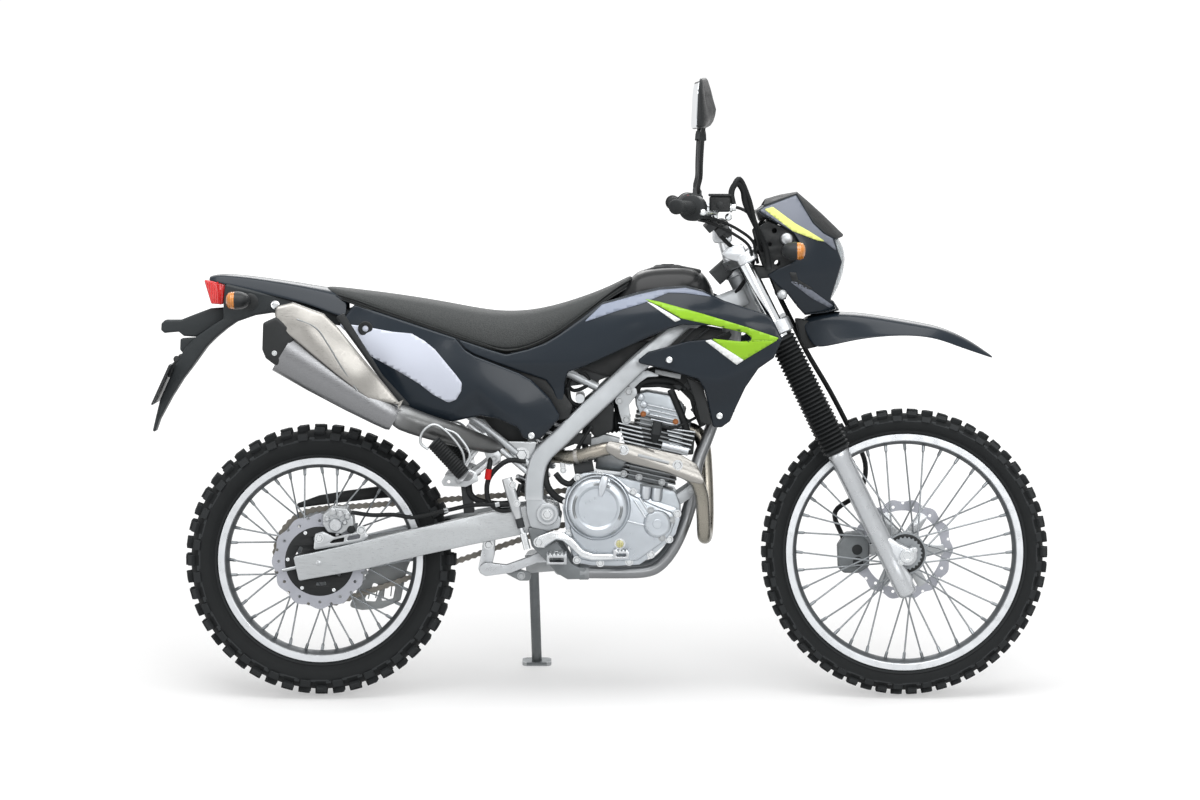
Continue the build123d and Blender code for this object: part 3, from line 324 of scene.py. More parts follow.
def publish(name, mesh, body, mat, stands_for=(), smooth=35.0, bevel=0.0, segments=2, subdivide=0):
    """Mesh in upright millimetres becomes a piece that rides on a body."""
    mesh.transform(ROW)
    mesh.validate()
    obj = bpy.data.objects.new(name, mesh)
    bpy.context.scene.collection.objects.link(obj)
    mesh.materials.append(MAT[mat])
    for polygon in mesh.polygons:
        polygon.use_smooth = True
    mesh.set_sharp_from_angle(angle=math.radians(smooth))
    if subdivide:
        refine(obj, subdivide)
    if bevel:
        modify(obj, "BEVEL", width=bevel / 1000, segments=segments, limit_method="ANGLE",
               angle_limit=math.radians(BEVEL_ANGLE), harden_normals=False)
        modify(obj, "WEIGHTED_NORMAL", keep_sharp=True)
    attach(obj, body)
    if stands_for:
        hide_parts(*stands_for)
    return obj


def on_right(side, node):
    """The right-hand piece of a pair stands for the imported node."""
    return [node] if side == RIGHT else ()


def across(side, places):
    """Places on one side; the second number of each is its distance from the middle plane."""
    return [(x, side * y, *rest) for x, y, *rest in places]


def mirrored(points):
    """Points and, in reverse, their mirror images across the middle plane."""
    return points + [(x, -y, z) for x, y, z in points[::-1]]


def ring_angles(count):
    return np.linspace(0, 2 * math.pi, count + 1)[:-1]


def bm_mesh(name, bm):
    bmesh.ops.recalc_face_normals(bm, faces=bm.faces)
    mesh = bpy.data.meshes.new(name)
    bm.to_mesh(mesh)
    bm.free()
    return mesh


def rounded(points, radius, steps=5):
    """Outline of (x, z) or (x, z, radius) corners with each corner rounded."""
    out = []
    count = len(points)
    for i, point in enumerate(points):
        corner = Vector(point[:2])
        before, after = Vector(points[i - 1][:2]), Vector(points[(i + 1) % count][:2])
        a, b = before - corner, after - corner
        r = point[2] if len(point) > 2 else radius
        turn = a.angle(b, math.pi)
        if r <= 0 or turn > STRAIGHT or min(a.length, b.length) < 1e-6:
            out.append(tuple(corner))
            continue
        reach = min(r / math.tan(turn / 2), a.length * CORNER_SHARE, b.length * CORNER_SHARE)
        start, end = corner + a.normalized() * reach, corner + b.normalized() * reach
        for k in range(steps + 1):
            t = k / steps
            out.append(tuple(start * (1 - t) ** 2 + corner * 2 * t * (1 - t) + end * t ** 2))
    return out


def smooth_line(points, steps=6):
    """Open Catmull-Rom line through points of any dimension."""
    p = [np.array(q, float) for q in points]
    p = [2 * p[0] - p[1]] + p + [2 * p[-1] - p[-2]]
    out = []
    for a, b, c, d in zip(p, p[1:], p[2:], p[3:]):
        for k in range(steps):
            t = k / steps
            out.append(0.5 * (2 * b + (c - a) * t + (2 * a - 5 * b + 4 * c - d) * t ** 2
                              + (3 * b - a - 3 * c + d) * t ** 3))
    return out + [p[-2]]


def circle(x, z, radius, steps=24):
    return [(x + radius * math.cos(2 * math.pi * k / steps),
             z + radius * math.sin(2 * math.pi * k / steps)) for k in range(steps)]


def curve_mesh(name, dimensions, lines, **settings):
    """Mesh of a curve; 2D lines are closed and fill what lies between them, a 3D line stays open."""
    curve = bpy.data.curves.new(name, "CURVE")
    curve.dimensions = dimensions
    for key, value in settings.items():
        setattr(curve, key, value)
    for line in lines:
        spline = curve.splines.new("POLY")
        spline.points.add(len(line) - 1)
        for point, co in zip(spline.points, line):
            point.co = (*co, 0, 1) if dimensions == "2D" else (*co, 1)
        spline.use_cyclic_u = dimensions == "2D"
    helper = bpy.data.objects.new(name, curve)
    mesh = bpy.data.meshes.new_from_object(helper)
    bpy.data.objects.remove(helper)
    return mesh


def slice_mesh(bm, values, normal):
    """Cut the mesh by a plane across normal at each value."""
    for value in values:
        bmesh.ops.bisect_plane(bm, geom=bm.verts[:] + bm.edges[:] + bm.faces[:], plane_co=Vector(normal) * value,
                               plane_no=normal)


def plate_mesh(name, outlines, low, high, edge):
    """Mesh of a plate between y = low and y = high; the first side outline is its outside, the rest are holes."""
    mesh = curve_mesh(name, "2D", outlines, fill_mode="BOTH", extrude=abs(high - low) / 2 - edge, bevel_depth=edge,
                      bevel_resolution=1 if edge < 2.5 else 3, offset=-edge)
    mesh.transform(Matrix.Translation((0, (low + high) / 2, 0)) @ Matrix.Rotation(math.radians(90), 4, "X"))
    return mesh


def cut(name, outlines, low, high, body, mat, edge=1.0, warp=None, slices=(), **options):
    """Plate of side outlines, the first its outside and the rest holes, between y = low and y = high."""
    bm = bmesh.new()
    bm.from_mesh(plate_mesh(name, outlines, low, high, edge))
    bmesh.ops.remove_doubles(bm, verts=bm.verts, dist=WELD)
    slice_mesh(bm, slices, (1, 0, 0))
    if warp:
        for vert in bm.verts:
            vert.co = Vector(warp(*vert.co))
    return publish(name, bm_mesh(name, bm), body, mat, **options)


def slab(name, outline, corner, low, high, body, mat, edge=1.0, **options):
    """Plate without holes whose corners are rounded."""
    return cut(name, [rounded(outline, corner)], low, high, body, mat, edge, **options)


def facing(centre, axis):
    """Matrix that moves the origin to centre and turns Z to axis."""
    return Matrix.Translation(centre) @ Vector(axis).to_track_quat("Z", "Y").to_matrix().to_4x4()


def lathe(name, profile, centre, axis, body, mat, steps=64, **options):
    """Closed or open profile of (radius, along) turned about an axis through centre; radius 0 ends close it."""
    bm = bmesh.new()
    verts = [bm.verts.new((r, 0, h)) for r, h in profile]
    edges = [bm.edges.new((a, b)) for a, b in zip(verts, verts[1:])]
    bmesh.ops.spin(bm, geom=verts + edges, cent=(0, 0, 0), axis=(0, 0, 1), dvec=(0, 0, 0), angle=2 * math.pi,
                   steps=steps)
    bmesh.ops.remove_doubles(bm, verts=bm.verts, dist=0.001)
    bmesh.ops.transform(bm, matrix=facing(centre, axis), verts=bm.verts)
    return publish(name, bm_mesh(name, bm), body, mat, **options)


def ring_profile(profile):
    """Closed section for lathe: repeats its first corner."""
    return list(profile) + [profile[0]]


def loft(name, rings, body, mat, closed=True, **options):
    """Skin over rings of equally many (x, y, z) corners; closed rings get a cap at both ends."""
    verts = [point for ring in rings for point in ring]
    count = len(rings[0])
    faces = []
    for i in range(len(rings) - 1):
        for j in range(count if closed else count - 1):
            k = (j + 1) % count
            faces.append((i * count + j, i * count + k, (i + 1) * count + k, (i + 1) * count + j))
    if closed:
        faces.append(tuple(range(count))[::-1])
        faces.append(tuple((len(rings) - 1) * count + j for j in range(count)))
    bm = bmesh.new()
    made = [bm.verts.new(tuple(v)) for v in verts]
    for face in faces:
        bm.faces.new([made[i] for i in face])
    return publish(name, bm_mesh(name, bm), body, mat, **options)


def section(high, wide, corner, steps=4):
    """Rounded rectangle of (up, across) corners."""
    out = []
    for sx, sy, start in ((1, 1, 0), (-1, 1, 90), (-1, -1, 180), (1, -1, 270)):
        for k in range(steps + 1):
            a = math.radians(start + 90 * k / steps)
            out.append((sx * (high / 2 - corner) + corner * math.cos(a),
                        sy * (wide / 2 - corner) + corner * math.sin(a)))
    return out


def strut(name, points, sizes, body, mat, corner=6.0, **options):
    """Bar of rounded rectangular section along points; sizes are (high, wide) at each point or one pair."""
    pts = [Vector(p) for p in points]
    sizes = sizes if isinstance(sizes, list) else [sizes] * len(pts)
    rings = []
    for i, p in enumerate(pts):
        ahead = (pts[min(i + 1, len(pts) - 1)] - pts[max(i - 1, 0)]).normalized()
        side = ACROSS - ahead * ahead.y
        side.normalize()
        up = side.cross(ahead)
        high, wide = sizes[i]
        rings.append([p + up * u + side * v for u, v in section(high, wide, min(corner, high / 2.05, wide / 2.05))])
    return loft(name, rings, body, mat, **options)


def tube(name, points, radius, body, mat, curved=True, sides=6, **options):
    """Round tube along a smooth line through points, or a bent one where it isn't curved."""
    line = smooth_line(points) if curved and len(points) > 2 else points
    mesh = curve_mesh(name, "3D", [line], bevel_depth=radius, bevel_resolution=sides, use_fill_caps=True)
    return publish(name, mesh, body, mat, smooth=50, **options)


def polyline_distance(points, outline):
    """Distance of each (x, z) row of points from a closed outline."""
    best = np.full(len(points), 1e9)
    for a, b in zip(outline, outline[1:] + outline[:1]):
        a, b = np.array(a, float), np.array(b, float)
        along = b - a
        size = along @ along
        if size > 1e-9:
            t = np.clip(((points - a) @ along) / size, 0, 1)
            best = np.minimum(best, np.linalg.norm(points - a - t[:, None] * along, axis=1))
    return best


class Surface:
    """Smooth sheet y(x, z) through control points (x, z, y); it falls inwards below each fold line."""

    def __init__(self, points, stiff=1.0, folds=()):
        self.folds = folds
        self.xz = np.array([p[:2] for p in points], float) / 100
        n = len(points)
        d = np.linalg.norm(self.xz[:, None] - self.xz[None], axis=2)
        a = np.zeros((n + 3, n + 3))
        a[:n, :n] = self.kernel(d) + np.eye(n) * 0.01 * stiff
        a[:n, n] = a[n, :n] = 1
        a[:n, n + 1:] = self.xz
        a[n + 1:, :n] = self.xz.T
        self.w = np.linalg.solve(a, np.array([p[2] for p in points] + [0, 0, 0], float))

    @staticmethod
    def kernel(d):
        return np.where(d > 1e-9, d * d * np.log(np.maximum(d, 1e-9)), 0)

    def __call__(self, xz):
        q = np.array(xz, float) / 100
        d = np.linalg.norm(q[:, None] - self.xz[None], axis=2)
        n = len(self.xz)
        y = self.kernel(d) @ self.w[:n] + self.w[n] + q @ self.w[n + 1:]
        for line, slope, reach in self.folds:
            below = np.interp(q[:, 0] * 100, *zip(*line)) - q[:, 1] * 100
            y = y - slope * np.clip(below, 0, reach)
        return y


RIM_STEPS = (0.12, 0.25, 0.3, 0.33)  # shares of a panel's rolled rim, outermost first


def panel(name, outline, surface, body, mat, side=RIGHT, thick=3.0, edge=5.0, grid=14.0, lift=0.0, host=None,
          **options):
    """Moulded panel: outline filled, laid on the surface, its rim rolled inwards over the distance edge.

    host is the (outline, edge) of the panel that a thin decal lies on, so that it follows that panel's rolled rim.
    """
    bm = bmesh.new()
    bm.from_mesh(curve_mesh(name, "2D", [outline], fill_mode="BOTH"))
    bmesh.ops.remove_doubles(bm, verts=bm.verts, dist=2 * WELD)
    bmesh.ops.dissolve_limit(bm, angle_limit=0.01, verts=bm.verts, edges=[e for e in bm.edges if not e.is_boundary])
    inner = bm.faces[:]
    for share in RIM_STEPS if edge else ():
        bmesh.ops.inset_region(bm, faces=inner, thickness=edge * share, use_even_offset=True, use_boundary=True)
    xs = [v.co.x for v in bm.verts]
    zs = [v.co.y for v in bm.verts]
    slice_mesh(bm, np.arange(min(xs) + grid, max(xs), grid), (1, 0, 0))
    slice_mesh(bm, np.arange(min(zs) + grid, max(zs), grid), (0, 1, 0))
    bmesh.ops.triangulate(bm, faces=[f for f in bm.faces if len(f.verts) > 4])
    points = np.array([(v.co.x, v.co.y) for v in bm.verts])
    y = surface(points) + lift
    line, roll = host or (outline, edge)
    if roll:
        away = np.clip(polyline_distance(points, line) / roll, 0, 1)
        y = y - roll * (1 - np.sqrt(1 - (1 - away) ** 2))
    for vert, value, (px, pz) in zip(bm.verts, y, points):
        vert.co = Vector((px, side * value, pz))
    mesh = bm_mesh(name, bm)
    obj = publish(name, mesh, body, mat, smooth=40, **options)
    outward = sum(p.normal.y * p.area for p in mesh.polygons)
    thicken(obj, thick, -1 if outward * side > 0 else 1)


BOLT_HEX = [(1.35, 0.0, 24), (1.35, 0.25, 24), (1.0, 0.28, 6), (1.0, 0.85, 6), (0.86, 1.0, 6)]
BOLT_ROUND = [(1.0, -0.1, 20), (1.0, 0.5, 20), (0.85, 0.8, 20), (0.52, 0.85, 20), (0.46, 0.35, 20)]


def bolts(name, places, body, mat="bright", side=RIGHT, shape=BOLT_HEX):
    """Bolt heads on side faces: places are (x, y, z, radius)."""
    bm = bmesh.new()
    for x, y, z, radius in places:
        previous = None
        for reach, rise, count in shape:
            level = y + side * rise * radius
            ring = [bm.verts.new((px, level, pz)) for px, pz in circle(x, z, reach * radius, count)]
            if previous and len(previous) == count:
                for k in range(count):
                    bm.faces.new((previous[k], previous[(k + 1) % count], ring[(k + 1) % count], ring[k]))
            else:
                bm.faces.new(previous or ring)
            if previous and len(previous) != count:
                bm.faces.new(ring[::-1])
            previous = ring
        bm.faces.new(previous)
    return publish(name, bm_mesh(name, bm), body, mat, smooth=30)


# ---------------------------------------------------------------- wheels
WHEELS = {
    "rear": dict(at=REAR_AXLE, radius=321.0, width=54.0, rim=243.0, rim_half=37.0, crown=38.0, rows=48, lug=13.0,
                 lip=44.0, flange=44.0),
    "front": dict(at=FRONT_AXLE, radius=339.5, width=40.5, rim=281.0, rim_half=28.0, crown=30.0, rows=58, lug=11.0,
                  lip=42.0, flange=34.0),
}
SPOKES = 36
SPOKE_LEAD = 62  # degrees from a hole in the rim to its hole in the hub flange


def crown_point(wheel, angle, drop=0.0):
    """(radius, y) on the rounded tread, angle being degrees from the middle plane."""
    a = math.radians(angle)
    r = wheel["radius"] - wheel["crown"] + (wheel["crown"] - drop) * math.cos(a)
    return r, (wheel["width"] - drop * 0.7) * math.sin(a)


def carcass(wheel):
    rim, half, lug = wheel["rim"], wheel["rim_half"], wheel["lug"]
    side = [(rim - 5, half - 6), (rim + 0.6, half - 3.5), (rim + 1.2, half + 1.6), (rim + 4, half + 4.2),
            (rim + 7, half + 4.6), (rim + 8, half + 3.6), (rim + 12, half + 5.5)]
    low = wheel["radius"] - wheel["crown"] - 4
    side += [(rim + 0.55 * (low - rim), wheel["width"] - 6), (low, wheel["width"] - 5)]
    tread = [crown_point(wheel, a, lug * min(1, (90 - a) / 25 + 0.35)) for a in range(84, 0, -12)]
    half_line = side + tread
    return half_line + [(wheel["radius"] - lug, 0)] + [(r, -y) for r, y in reversed(half_line)]


def tread_block(bm, wheel, turn, angle, half_turn, half_angle, drop=0.0, skew=0.0):
    x, z = wheel["at"]
    corners = []
    for level, spread in ((wheel["lug"] + 3, 1.14), (drop, 1.0)):
        for st, sa in ((-1, -1), (1, -1), (1, 1), (-1, 1)):
            r, y = crown_point(wheel, angle + sa * half_angle * spread, level)
            t = turn + st * half_turn * spread / wheel["radius"] + skew * sa
            corners.append(bm.verts.new((x + r * math.cos(t), y, z + r * math.sin(t))))
    for face in ((0, 1, 2, 3), (4, 5, 6, 7), (0, 1, 5, 4), (1, 2, 6, 5), (2, 3, 7, 6), (3, 0, 4, 7)):
        bm.faces.new([corners[i] for i in face])


def tread(name, wheel, body):
    """Rows of blocks: a pair at the crown in each row, then intermediate and shoulder blocks in turn."""
    bm = bmesh.new()
    pitch = 2 * math.pi / wheel["rows"]
    long = wheel["radius"] * pitch
    for i in range(wheel["rows"]):
        turn = i * pitch
        for side in (LEFT, RIGHT):
            if i % 2:
                tread_block(bm, wheel, turn, side * 13, long * 0.27, 9.5, skew=0.01 * side)
                tread_block(bm, wheel, turn + pitch * 0.06, side * 72, long * 0.3, 13, 0.5)
            else:
                tread_block(bm, wheel, turn, side * 10, long * 0.27, 8.5, skew=-0.01 * side)
                tread_block(bm, wheel, turn + pitch * 0.04, side * 44, long * 0.29, 10.5)
    publish(name + "_blocks", bm_mesh(name + "_blocks", bm), body, "rubber", bevel=1.1, segments=2)
    bm = bmesh.new()
    for i in range(wheel["rows"]):
        for side in (LEFT, RIGHT):
            tread_block(bm, wheel, (i + 0.5) * pitch, side * (84 if i % 2 else 78), long * 0.16, 5.5,
                        wheel["lug"] * 0.55)
            if i % 2 == 0:
                tread_block(bm, wheel, i * pitch, side * 86, long * 0.52, 3.0, wheel["lug"] * 0.5)
    publish(name + "_buttresses", bm_mesh(name + "_buttresses", bm), body, "rubber", bevel=0.8, segments=1)


def wheel_pieces(name, wheel):
    body, at = name + "_wheel", (wheel["at"][0], 0, wheel["at"][1])
    rim, w = wheel["rim"], wheel["rim_half"]
    lathe(name + "_carcass", ring_profile(carcass(wheel)), at, ACROSS, body, "rubber", 120,
          stands_for=[name + "_tyre"], smooth=50)
    tread(name, wheel, body)
    lip = ((rim, w - 3.5), (rim + 0.4, w - 1.5), (rim - 1.2, w), (rim - 15.5, w), (rim - 17, w - 1.4),
           (rim - 17.5, w - 7), (rim - 11, w - 9), (rim - 4, w - 5))
    for side in (LEFT, RIGHT):
        profile = ring_profile([(r, side * y) for r, y in lip])
        lathe(f"{name}_rim_lip_{side}", profile, at, ACROSS, body, "rim", 144, bevel=0.4)
    well = [(rim - 16.5, w - 2.5), (rim - 20, w * 0.72), (rim - 25, w * 0.42), (rim - 26, 0), (rim - 25, -w * 0.42),
            (rim - 20, -w * 0.72), (rim - 16.5, 2.5 - w), (rim - 12, 4 - w), (rim - 15, 0), (rim - 12, w - 4)]
    # Painted shade: the well's dark grey stands for the shade in the rim's recess.
    lathe(name + "_rim_well_shade", ring_profile(well), at, ACROSS, body, "well", 120, stands_for=[name + "_rim"],
          smooth=60)
    root_r, root_y, tip_r = wheel["flange"] - 4, wheel["lip"] - 2.5, rim - 21.8
    bm = bmesh.new()
    for i in range(SPOKES):
        side = LEFT if i % 2 else RIGHT
        lead = 1 if (i // 2) % 2 else -1
        outer = math.radians(360 * i / SPOKES)
        inner = outer + lead * math.radians(SPOKE_LEAD)
        root = Vector((at[0] + root_r * math.cos(inner), side * root_y, at[2] + root_r * math.sin(inner)))
        tip = Vector((at[0] + tip_r * math.cos(outer), side * 4, at[2] + tip_r * math.sin(outer)))
        along = (root - tip).normalized()
        for start, length, r0, r1, sides in ((-2, 5, 6.6, 5.0, 12), (2, 15, 4.0, 3.7, 8), (17, 4, 3.7, 2.1, 8)):
            bmesh.ops.create_cone(bm, cap_ends=True, segments=sides, radius1=r0, radius2=r1, depth=length,
                                  matrix=facing(tip + along * (start + length / 2), along))
    publish(name + "_nipples", bm_mesh(name + "_nipples", bm), body, "spoke", smooth=35)


DISC_HALF = 2.25  # mm
DISC_WAVE = 3.2
CARRIER_ARMS = 6


def wave_disc(name, wheel, radius, y, inner, body, lobes, carrier_mat, hub_r, plain=False):
    """Drilled ring with a waved rim, and its carrier: spokes out to the ring, or a plain plate."""
    x, z = wheel["at"]
    bm = bmesh.new()  # one sector a lobe, because a fill with many holes fails
    for k in range(lobes):
        turns = [2 * math.pi * (k + 0.25 + step / 12) / lobes for step in range(13)]
        wave = [(radius - DISC_WAVE + DISC_WAVE * math.cos(lobes * t), t) for t in turns]
        wave += [(inner, t) for t in reversed(turns)]
        sector = [[(x + r * math.cos(t), z + r * math.sin(t)) for r, t in wave]]
        for r, phase, size in ((radius - 9, 0.5, 3.6), (radius - 17, 1.0, 3.8)):
            a = 2 * math.pi * (k + phase) / lobes
            sector.append(circle(x + r * math.cos(a), z + r * math.sin(a), size, 12))
        bm.from_mesh(plate_mesh(name, sector, y - DISC_HALF, y + DISC_HALF, 0))
    bmesh.ops.remove_doubles(bm, verts=bm.verts, dist=WELD)
    publish(name + "_ring", bm_mesh(name + "_ring", bm), body, "disc", stands_for=[name])
    arm = [inner + 4] if plain else [inner + 5, inner + 5,
                                     *(hub_r + rise for rise in (26, 20, 18, 20, 26)), inner + 5]
    corners = CARRIER_ARMS * 8
    spider = [(x + arm[k % len(arm)] * math.cos(a), z + arm[k % len(arm)] * math.sin(a))
              for k, a in enumerate(2 * math.pi * k / corners for k in range(corners))]
    shift = 22 if plain else 0
    windows = [rounded([(x + r * math.cos(a), z + r * math.sin(a)) for r, a in (
        (hub_r + 6 + shift, base - 0.22), (hub_r + 15 + shift, base - 0.2), (hub_r + 15 + shift, base + 0.2),
        (hub_r + 6 + shift, base + 0.22))], 2)
        for base in (2 * math.pi * (k + 0.5625) / CARRIER_ARMS for k in range(CARRIER_ARMS))]
    cut(name + "_carrier", [rounded(spider, 5, 3), circle(x, z, hub_r, 36)] + windows, y - 3.2, y + 3.2, body,
        carrier_mat, 0.8)
    outside = LEFT if y > 0 else RIGHT
    heads = []
    for k in range(CARRIER_ARMS):
        a = 2 * math.pi * (k - 0.06) / CARRIER_ARMS
        heads.append((x + (inner - 3) * math.cos(a), y + outside * 2.6, z + (inner - 3) * math.sin(a), 5))
    bolts(name + "_bolts", heads, body, "bright", outside, BOLT_ROUND)


for wheel_name, wheel_data in WHEELS.items():
    wheel_pieces(wheel_name, wheel_data)
wave_disc("rear_disc", WHEELS["rear"], 113.0, -68.0, 78.0, "rear_wheel", 12, "black_metal", 22, True)
wave_disc("front_disc", WHEELS["front"], 120.0, 62.0, 93.0, "front_wheel", 14, "forged", 22)
# Painted shade: a dark ring with a lobed inner edge on the front hub's right face, where the hub lies in shadow.
HUB_SHADE_LOBES = 24
hub_shade_notches = [(FRONT_AXLE[0] + r * math.cos(a), FRONT_AXLE[1] + r * math.sin(a)) for r, a in (
    (40.0 if k % 4 < 2 else 36.5, math.pi * k / (2 * HUB_SHADE_LOBES)) for k in range(4 * HUB_SHADE_LOBES))]
cut("front_hub_shade", [circle(*FRONT_AXLE, 46, 60), hub_shade_notches], -60.7, -59.5, "front_wheel", "plastic", 0.2)


# ---------------------------------------------------------------- chain
LINK_PITCH = 15.875
LINK_HEAD = 7.3  # round end of a link plate
LINK_WAIST = 4.6  # half its height in the middle


def chain_links(body):
    """Roller chain round both sprockets: inner and outer plates in turn, with a roller at each pin."""
    y, big, small = 66.0, 113.8, 35.7
    (cx, cz), (rx, rz) = COUNTERSHAFT, REAR_AXLE
    gap, tilt = math.hypot(cx - rx, cz - rz), math.atan2(cz - rz, cx - rx)
    turn = math.asin((big - small) / gap)
    line = []
    for steps, r, x, z, a0, a1 in ((90, big, rx, rz, tilt + math.pi / 2 - turn, tilt + 1.5 * math.pi + turn),
                                   (40, small, cx, cz, tilt - math.pi / 2 + turn, tilt + math.pi / 2 - turn)):
        line += [(x + r * math.cos(a0 + (a1 - a0) * k / steps), z + r * math.sin(a0 + (a1 - a0) * k / steps))
                 for k in range(steps + 1)]
    line.append(line[0])
    lengths = np.concatenate([[0], np.cumsum([math.dist(a, b) for a, b in zip(line, line[1:])])])
    count = 2 * round(lengths[-1] / LINK_PITCH / 2)
    spots = np.linspace(0, lengths[-1], count + 1)
    xs, zs = np.interp(spots, lengths, [p[0] for p in line]), np.interp(spots, lengths, [p[1] for p in line])
    bm = bmesh.new()
    for k in range(count):
        a, b = Vector((xs[k], 0, zs[k])), Vector((xs[k + 1], 0, zs[k + 1]))
        along = (b - a).normalized()
        up = Vector((-along.z, 0, along.x))
        outline = [a + along * (LINK_HEAD * math.cos(t)) + up * LINK_HEAD * math.sin(t)
                   for t in np.linspace(math.pi / 2, 1.5 * math.pi, 6)]
        outline += [a + (b - a) / 2 - up * LINK_WAIST]
        outline += [b + along * LINK_HEAD * math.cos(t) + up * LINK_HEAD * math.sin(t)
                    for t in np.linspace(-math.pi / 2, math.pi / 2, 6)]
        outline += [a + (b - a) / 2 + up * LINK_WAIST]
        for side in (LEFT, RIGHT):
            near = y + side * (6.4 if k % 2 else 4.6)
            rings = [[bm.verts.new((p.x, near + side * depth, p.z)) for p in outline] for depth in (0, 1.5)]
            bm.faces.new(rings[0])
            bm.faces.new(rings[1][::-1])
            for i in range(len(outline)):
                j = (i + 1) % len(outline)
                bm.faces.new((rings[0][i], rings[0][j], rings[1][j], rings[1][i]))
        place = Matrix.Translation((a.x, y, a.z)) @ Matrix.Rotation(math.radians(90), 4, "X")
        for sides, radius, length in ((12, 4.9, 9), (10, 2.4, 17.4)):
            bmesh.ops.create_cone(bm, cap_ends=True, segments=sides, radius1=radius, radius2=radius, depth=length,
                                  matrix=place)
    publish("chain_links", bm_mesh("chain_links", bm), body, "chain", stands_for=["chain"], smooth=30)


chain_links("chassis")


# ---------------------------------------------------------------- frame and engine
def leg_point(s, y=0.0, ahead=0.0):
    """Point s down the fork from the top clamp, y across, ahead of the plane of the legs."""
    return (FORK_TOP[0] + s * math.sin(RAKE) + ahead * math.cos(RAKE), y,
            FORK_TOP[1] - s * math.cos(RAKE) + ahead * math.sin(RAKE))


def frame_pieces(body):
    for side, tag in SIDES:
        spar = across(side, [(506, 106, 470), (508, 107, 520), (524, 106, 572), (575, 102, 622), (670, 93, 712),
                             (770, 84, 806), (880, 62, 892), (1000, 28, 946)])
        strut("spar_" + tag, smooth_line(spar, 5), (44, 27), body, "frame", 7, stands_for=on_right(side, "frame"))
        casting = [(487, 500), (488, 440), (497, 405), (540, 396), (566, 404), (570, 425), (548, 450), (528, 470),
                   (520, 500)]
        slab("pivot_casting_" + tag, casting, 10, side * 96, side * 118, body, "frame", 3)
        lathe("pivot_boss_" + tag, [(0, 4), (9, 4), (10, 3), (17, 3), (18, 5), (24, 5), (26, 3), (27, -10), (27, -22),
                                    (0, -22)], (ARM_PIVOT[0], side * 121, ARM_PIVOT[1]), (0, side, 0), body, "frame",
              40)
        bolts("pivot_bolt_" + tag, across(side, [(ARM_PIVOT[0], 124, ARM_PIVOT[1], 10)]), body, "bright", side)
        low = [(533, 360), (560, 372), (576, 350), (594, 320), (612, 311), (627, 311), (627, 283), (584, 282),
               (560, 296), (533, 326), (500, 360), (490, 405), (540, 405)]
        slab("lower_casting_" + tag, low, 8, side * 92, side * 114, body, "casting", 4)
        cradle = across(side, [(944, 18, 690), (914, 34, 610), (890, 52, 548), (880, 62, 476), (858, 72, 405),
                               (832, 78, 350), (800, 83, 312), (765, 87, 298), (700, 92, 296), (612, 98, 297)])
        tube("cradle_" + tag, cradle, 13.5, body, "tube_grey")
        lathe("cradle_joint_" + tag, [(0, 0), (16.5, 0), (17, 1), (17, 20), (16, 22), (0, 22)], (612, side * 98, 297),
              (1, -side * 0.07, 0), body, "casting", 32)
        hanger = [(697, 712), (712, 728), (745, 732), (748, 716), (728, 690), (732, 650), (715, 642), (706, 672)]
        slab("hanger_" + tag, hanger, 8, side * 74, side * 80, body, "frame", 1)
        front_hanger = [(816, 470), (838, 478), (878, 505), (886, 492), (872, 470), (838, 448), (820, 452)]
        slab("front_hanger_" + tag, front_hanger, 6, side * 70, side * 76, body, "frame", 1)
        bolts("hanger_bolts_" + tag, across(side, [(728, 80, 722, 8), (706, 80, 700, 7), (722, 80, 656, 8),
                                                   (834, 76, 462, 8), (874, 76, 492, 7)]), body, "steel", side)
    strut("down_tube", [(974, 0, 880), (960, 0, 762), (938, 0, 668)], (46, 46), body, "tube_grey", 18)
    head = [Vector(leg_point(s, 0, -STEM_BEHIND)) for s in (17.5, 160)]
    lathe("head_tube", [(14.2, 0), (29, 0), (30, 1.5), (30, 12), (27, 15), (27, 127), (30, 130), (30, 141),
                        (29, 142.5), (14.2, 142.5)], head[1], head[0] - head[1], body, "frame", 48)
    tube("cross_tie_low", [(566, -98, 305), (566, 98, 305)], 14, body, "casting")
    tube("cross_tie_mid", [(588, -100, 562), (588, 100, 562)], 13, body, "frame")
    tube("cross_tie_top", [(613, -94, 706), (613, 94, 706)], 11, body, "frame")
    strut("stand_bracket", [(482, 104, 300), (556, 104, 306)], (44, 14), body, "casting", 3)


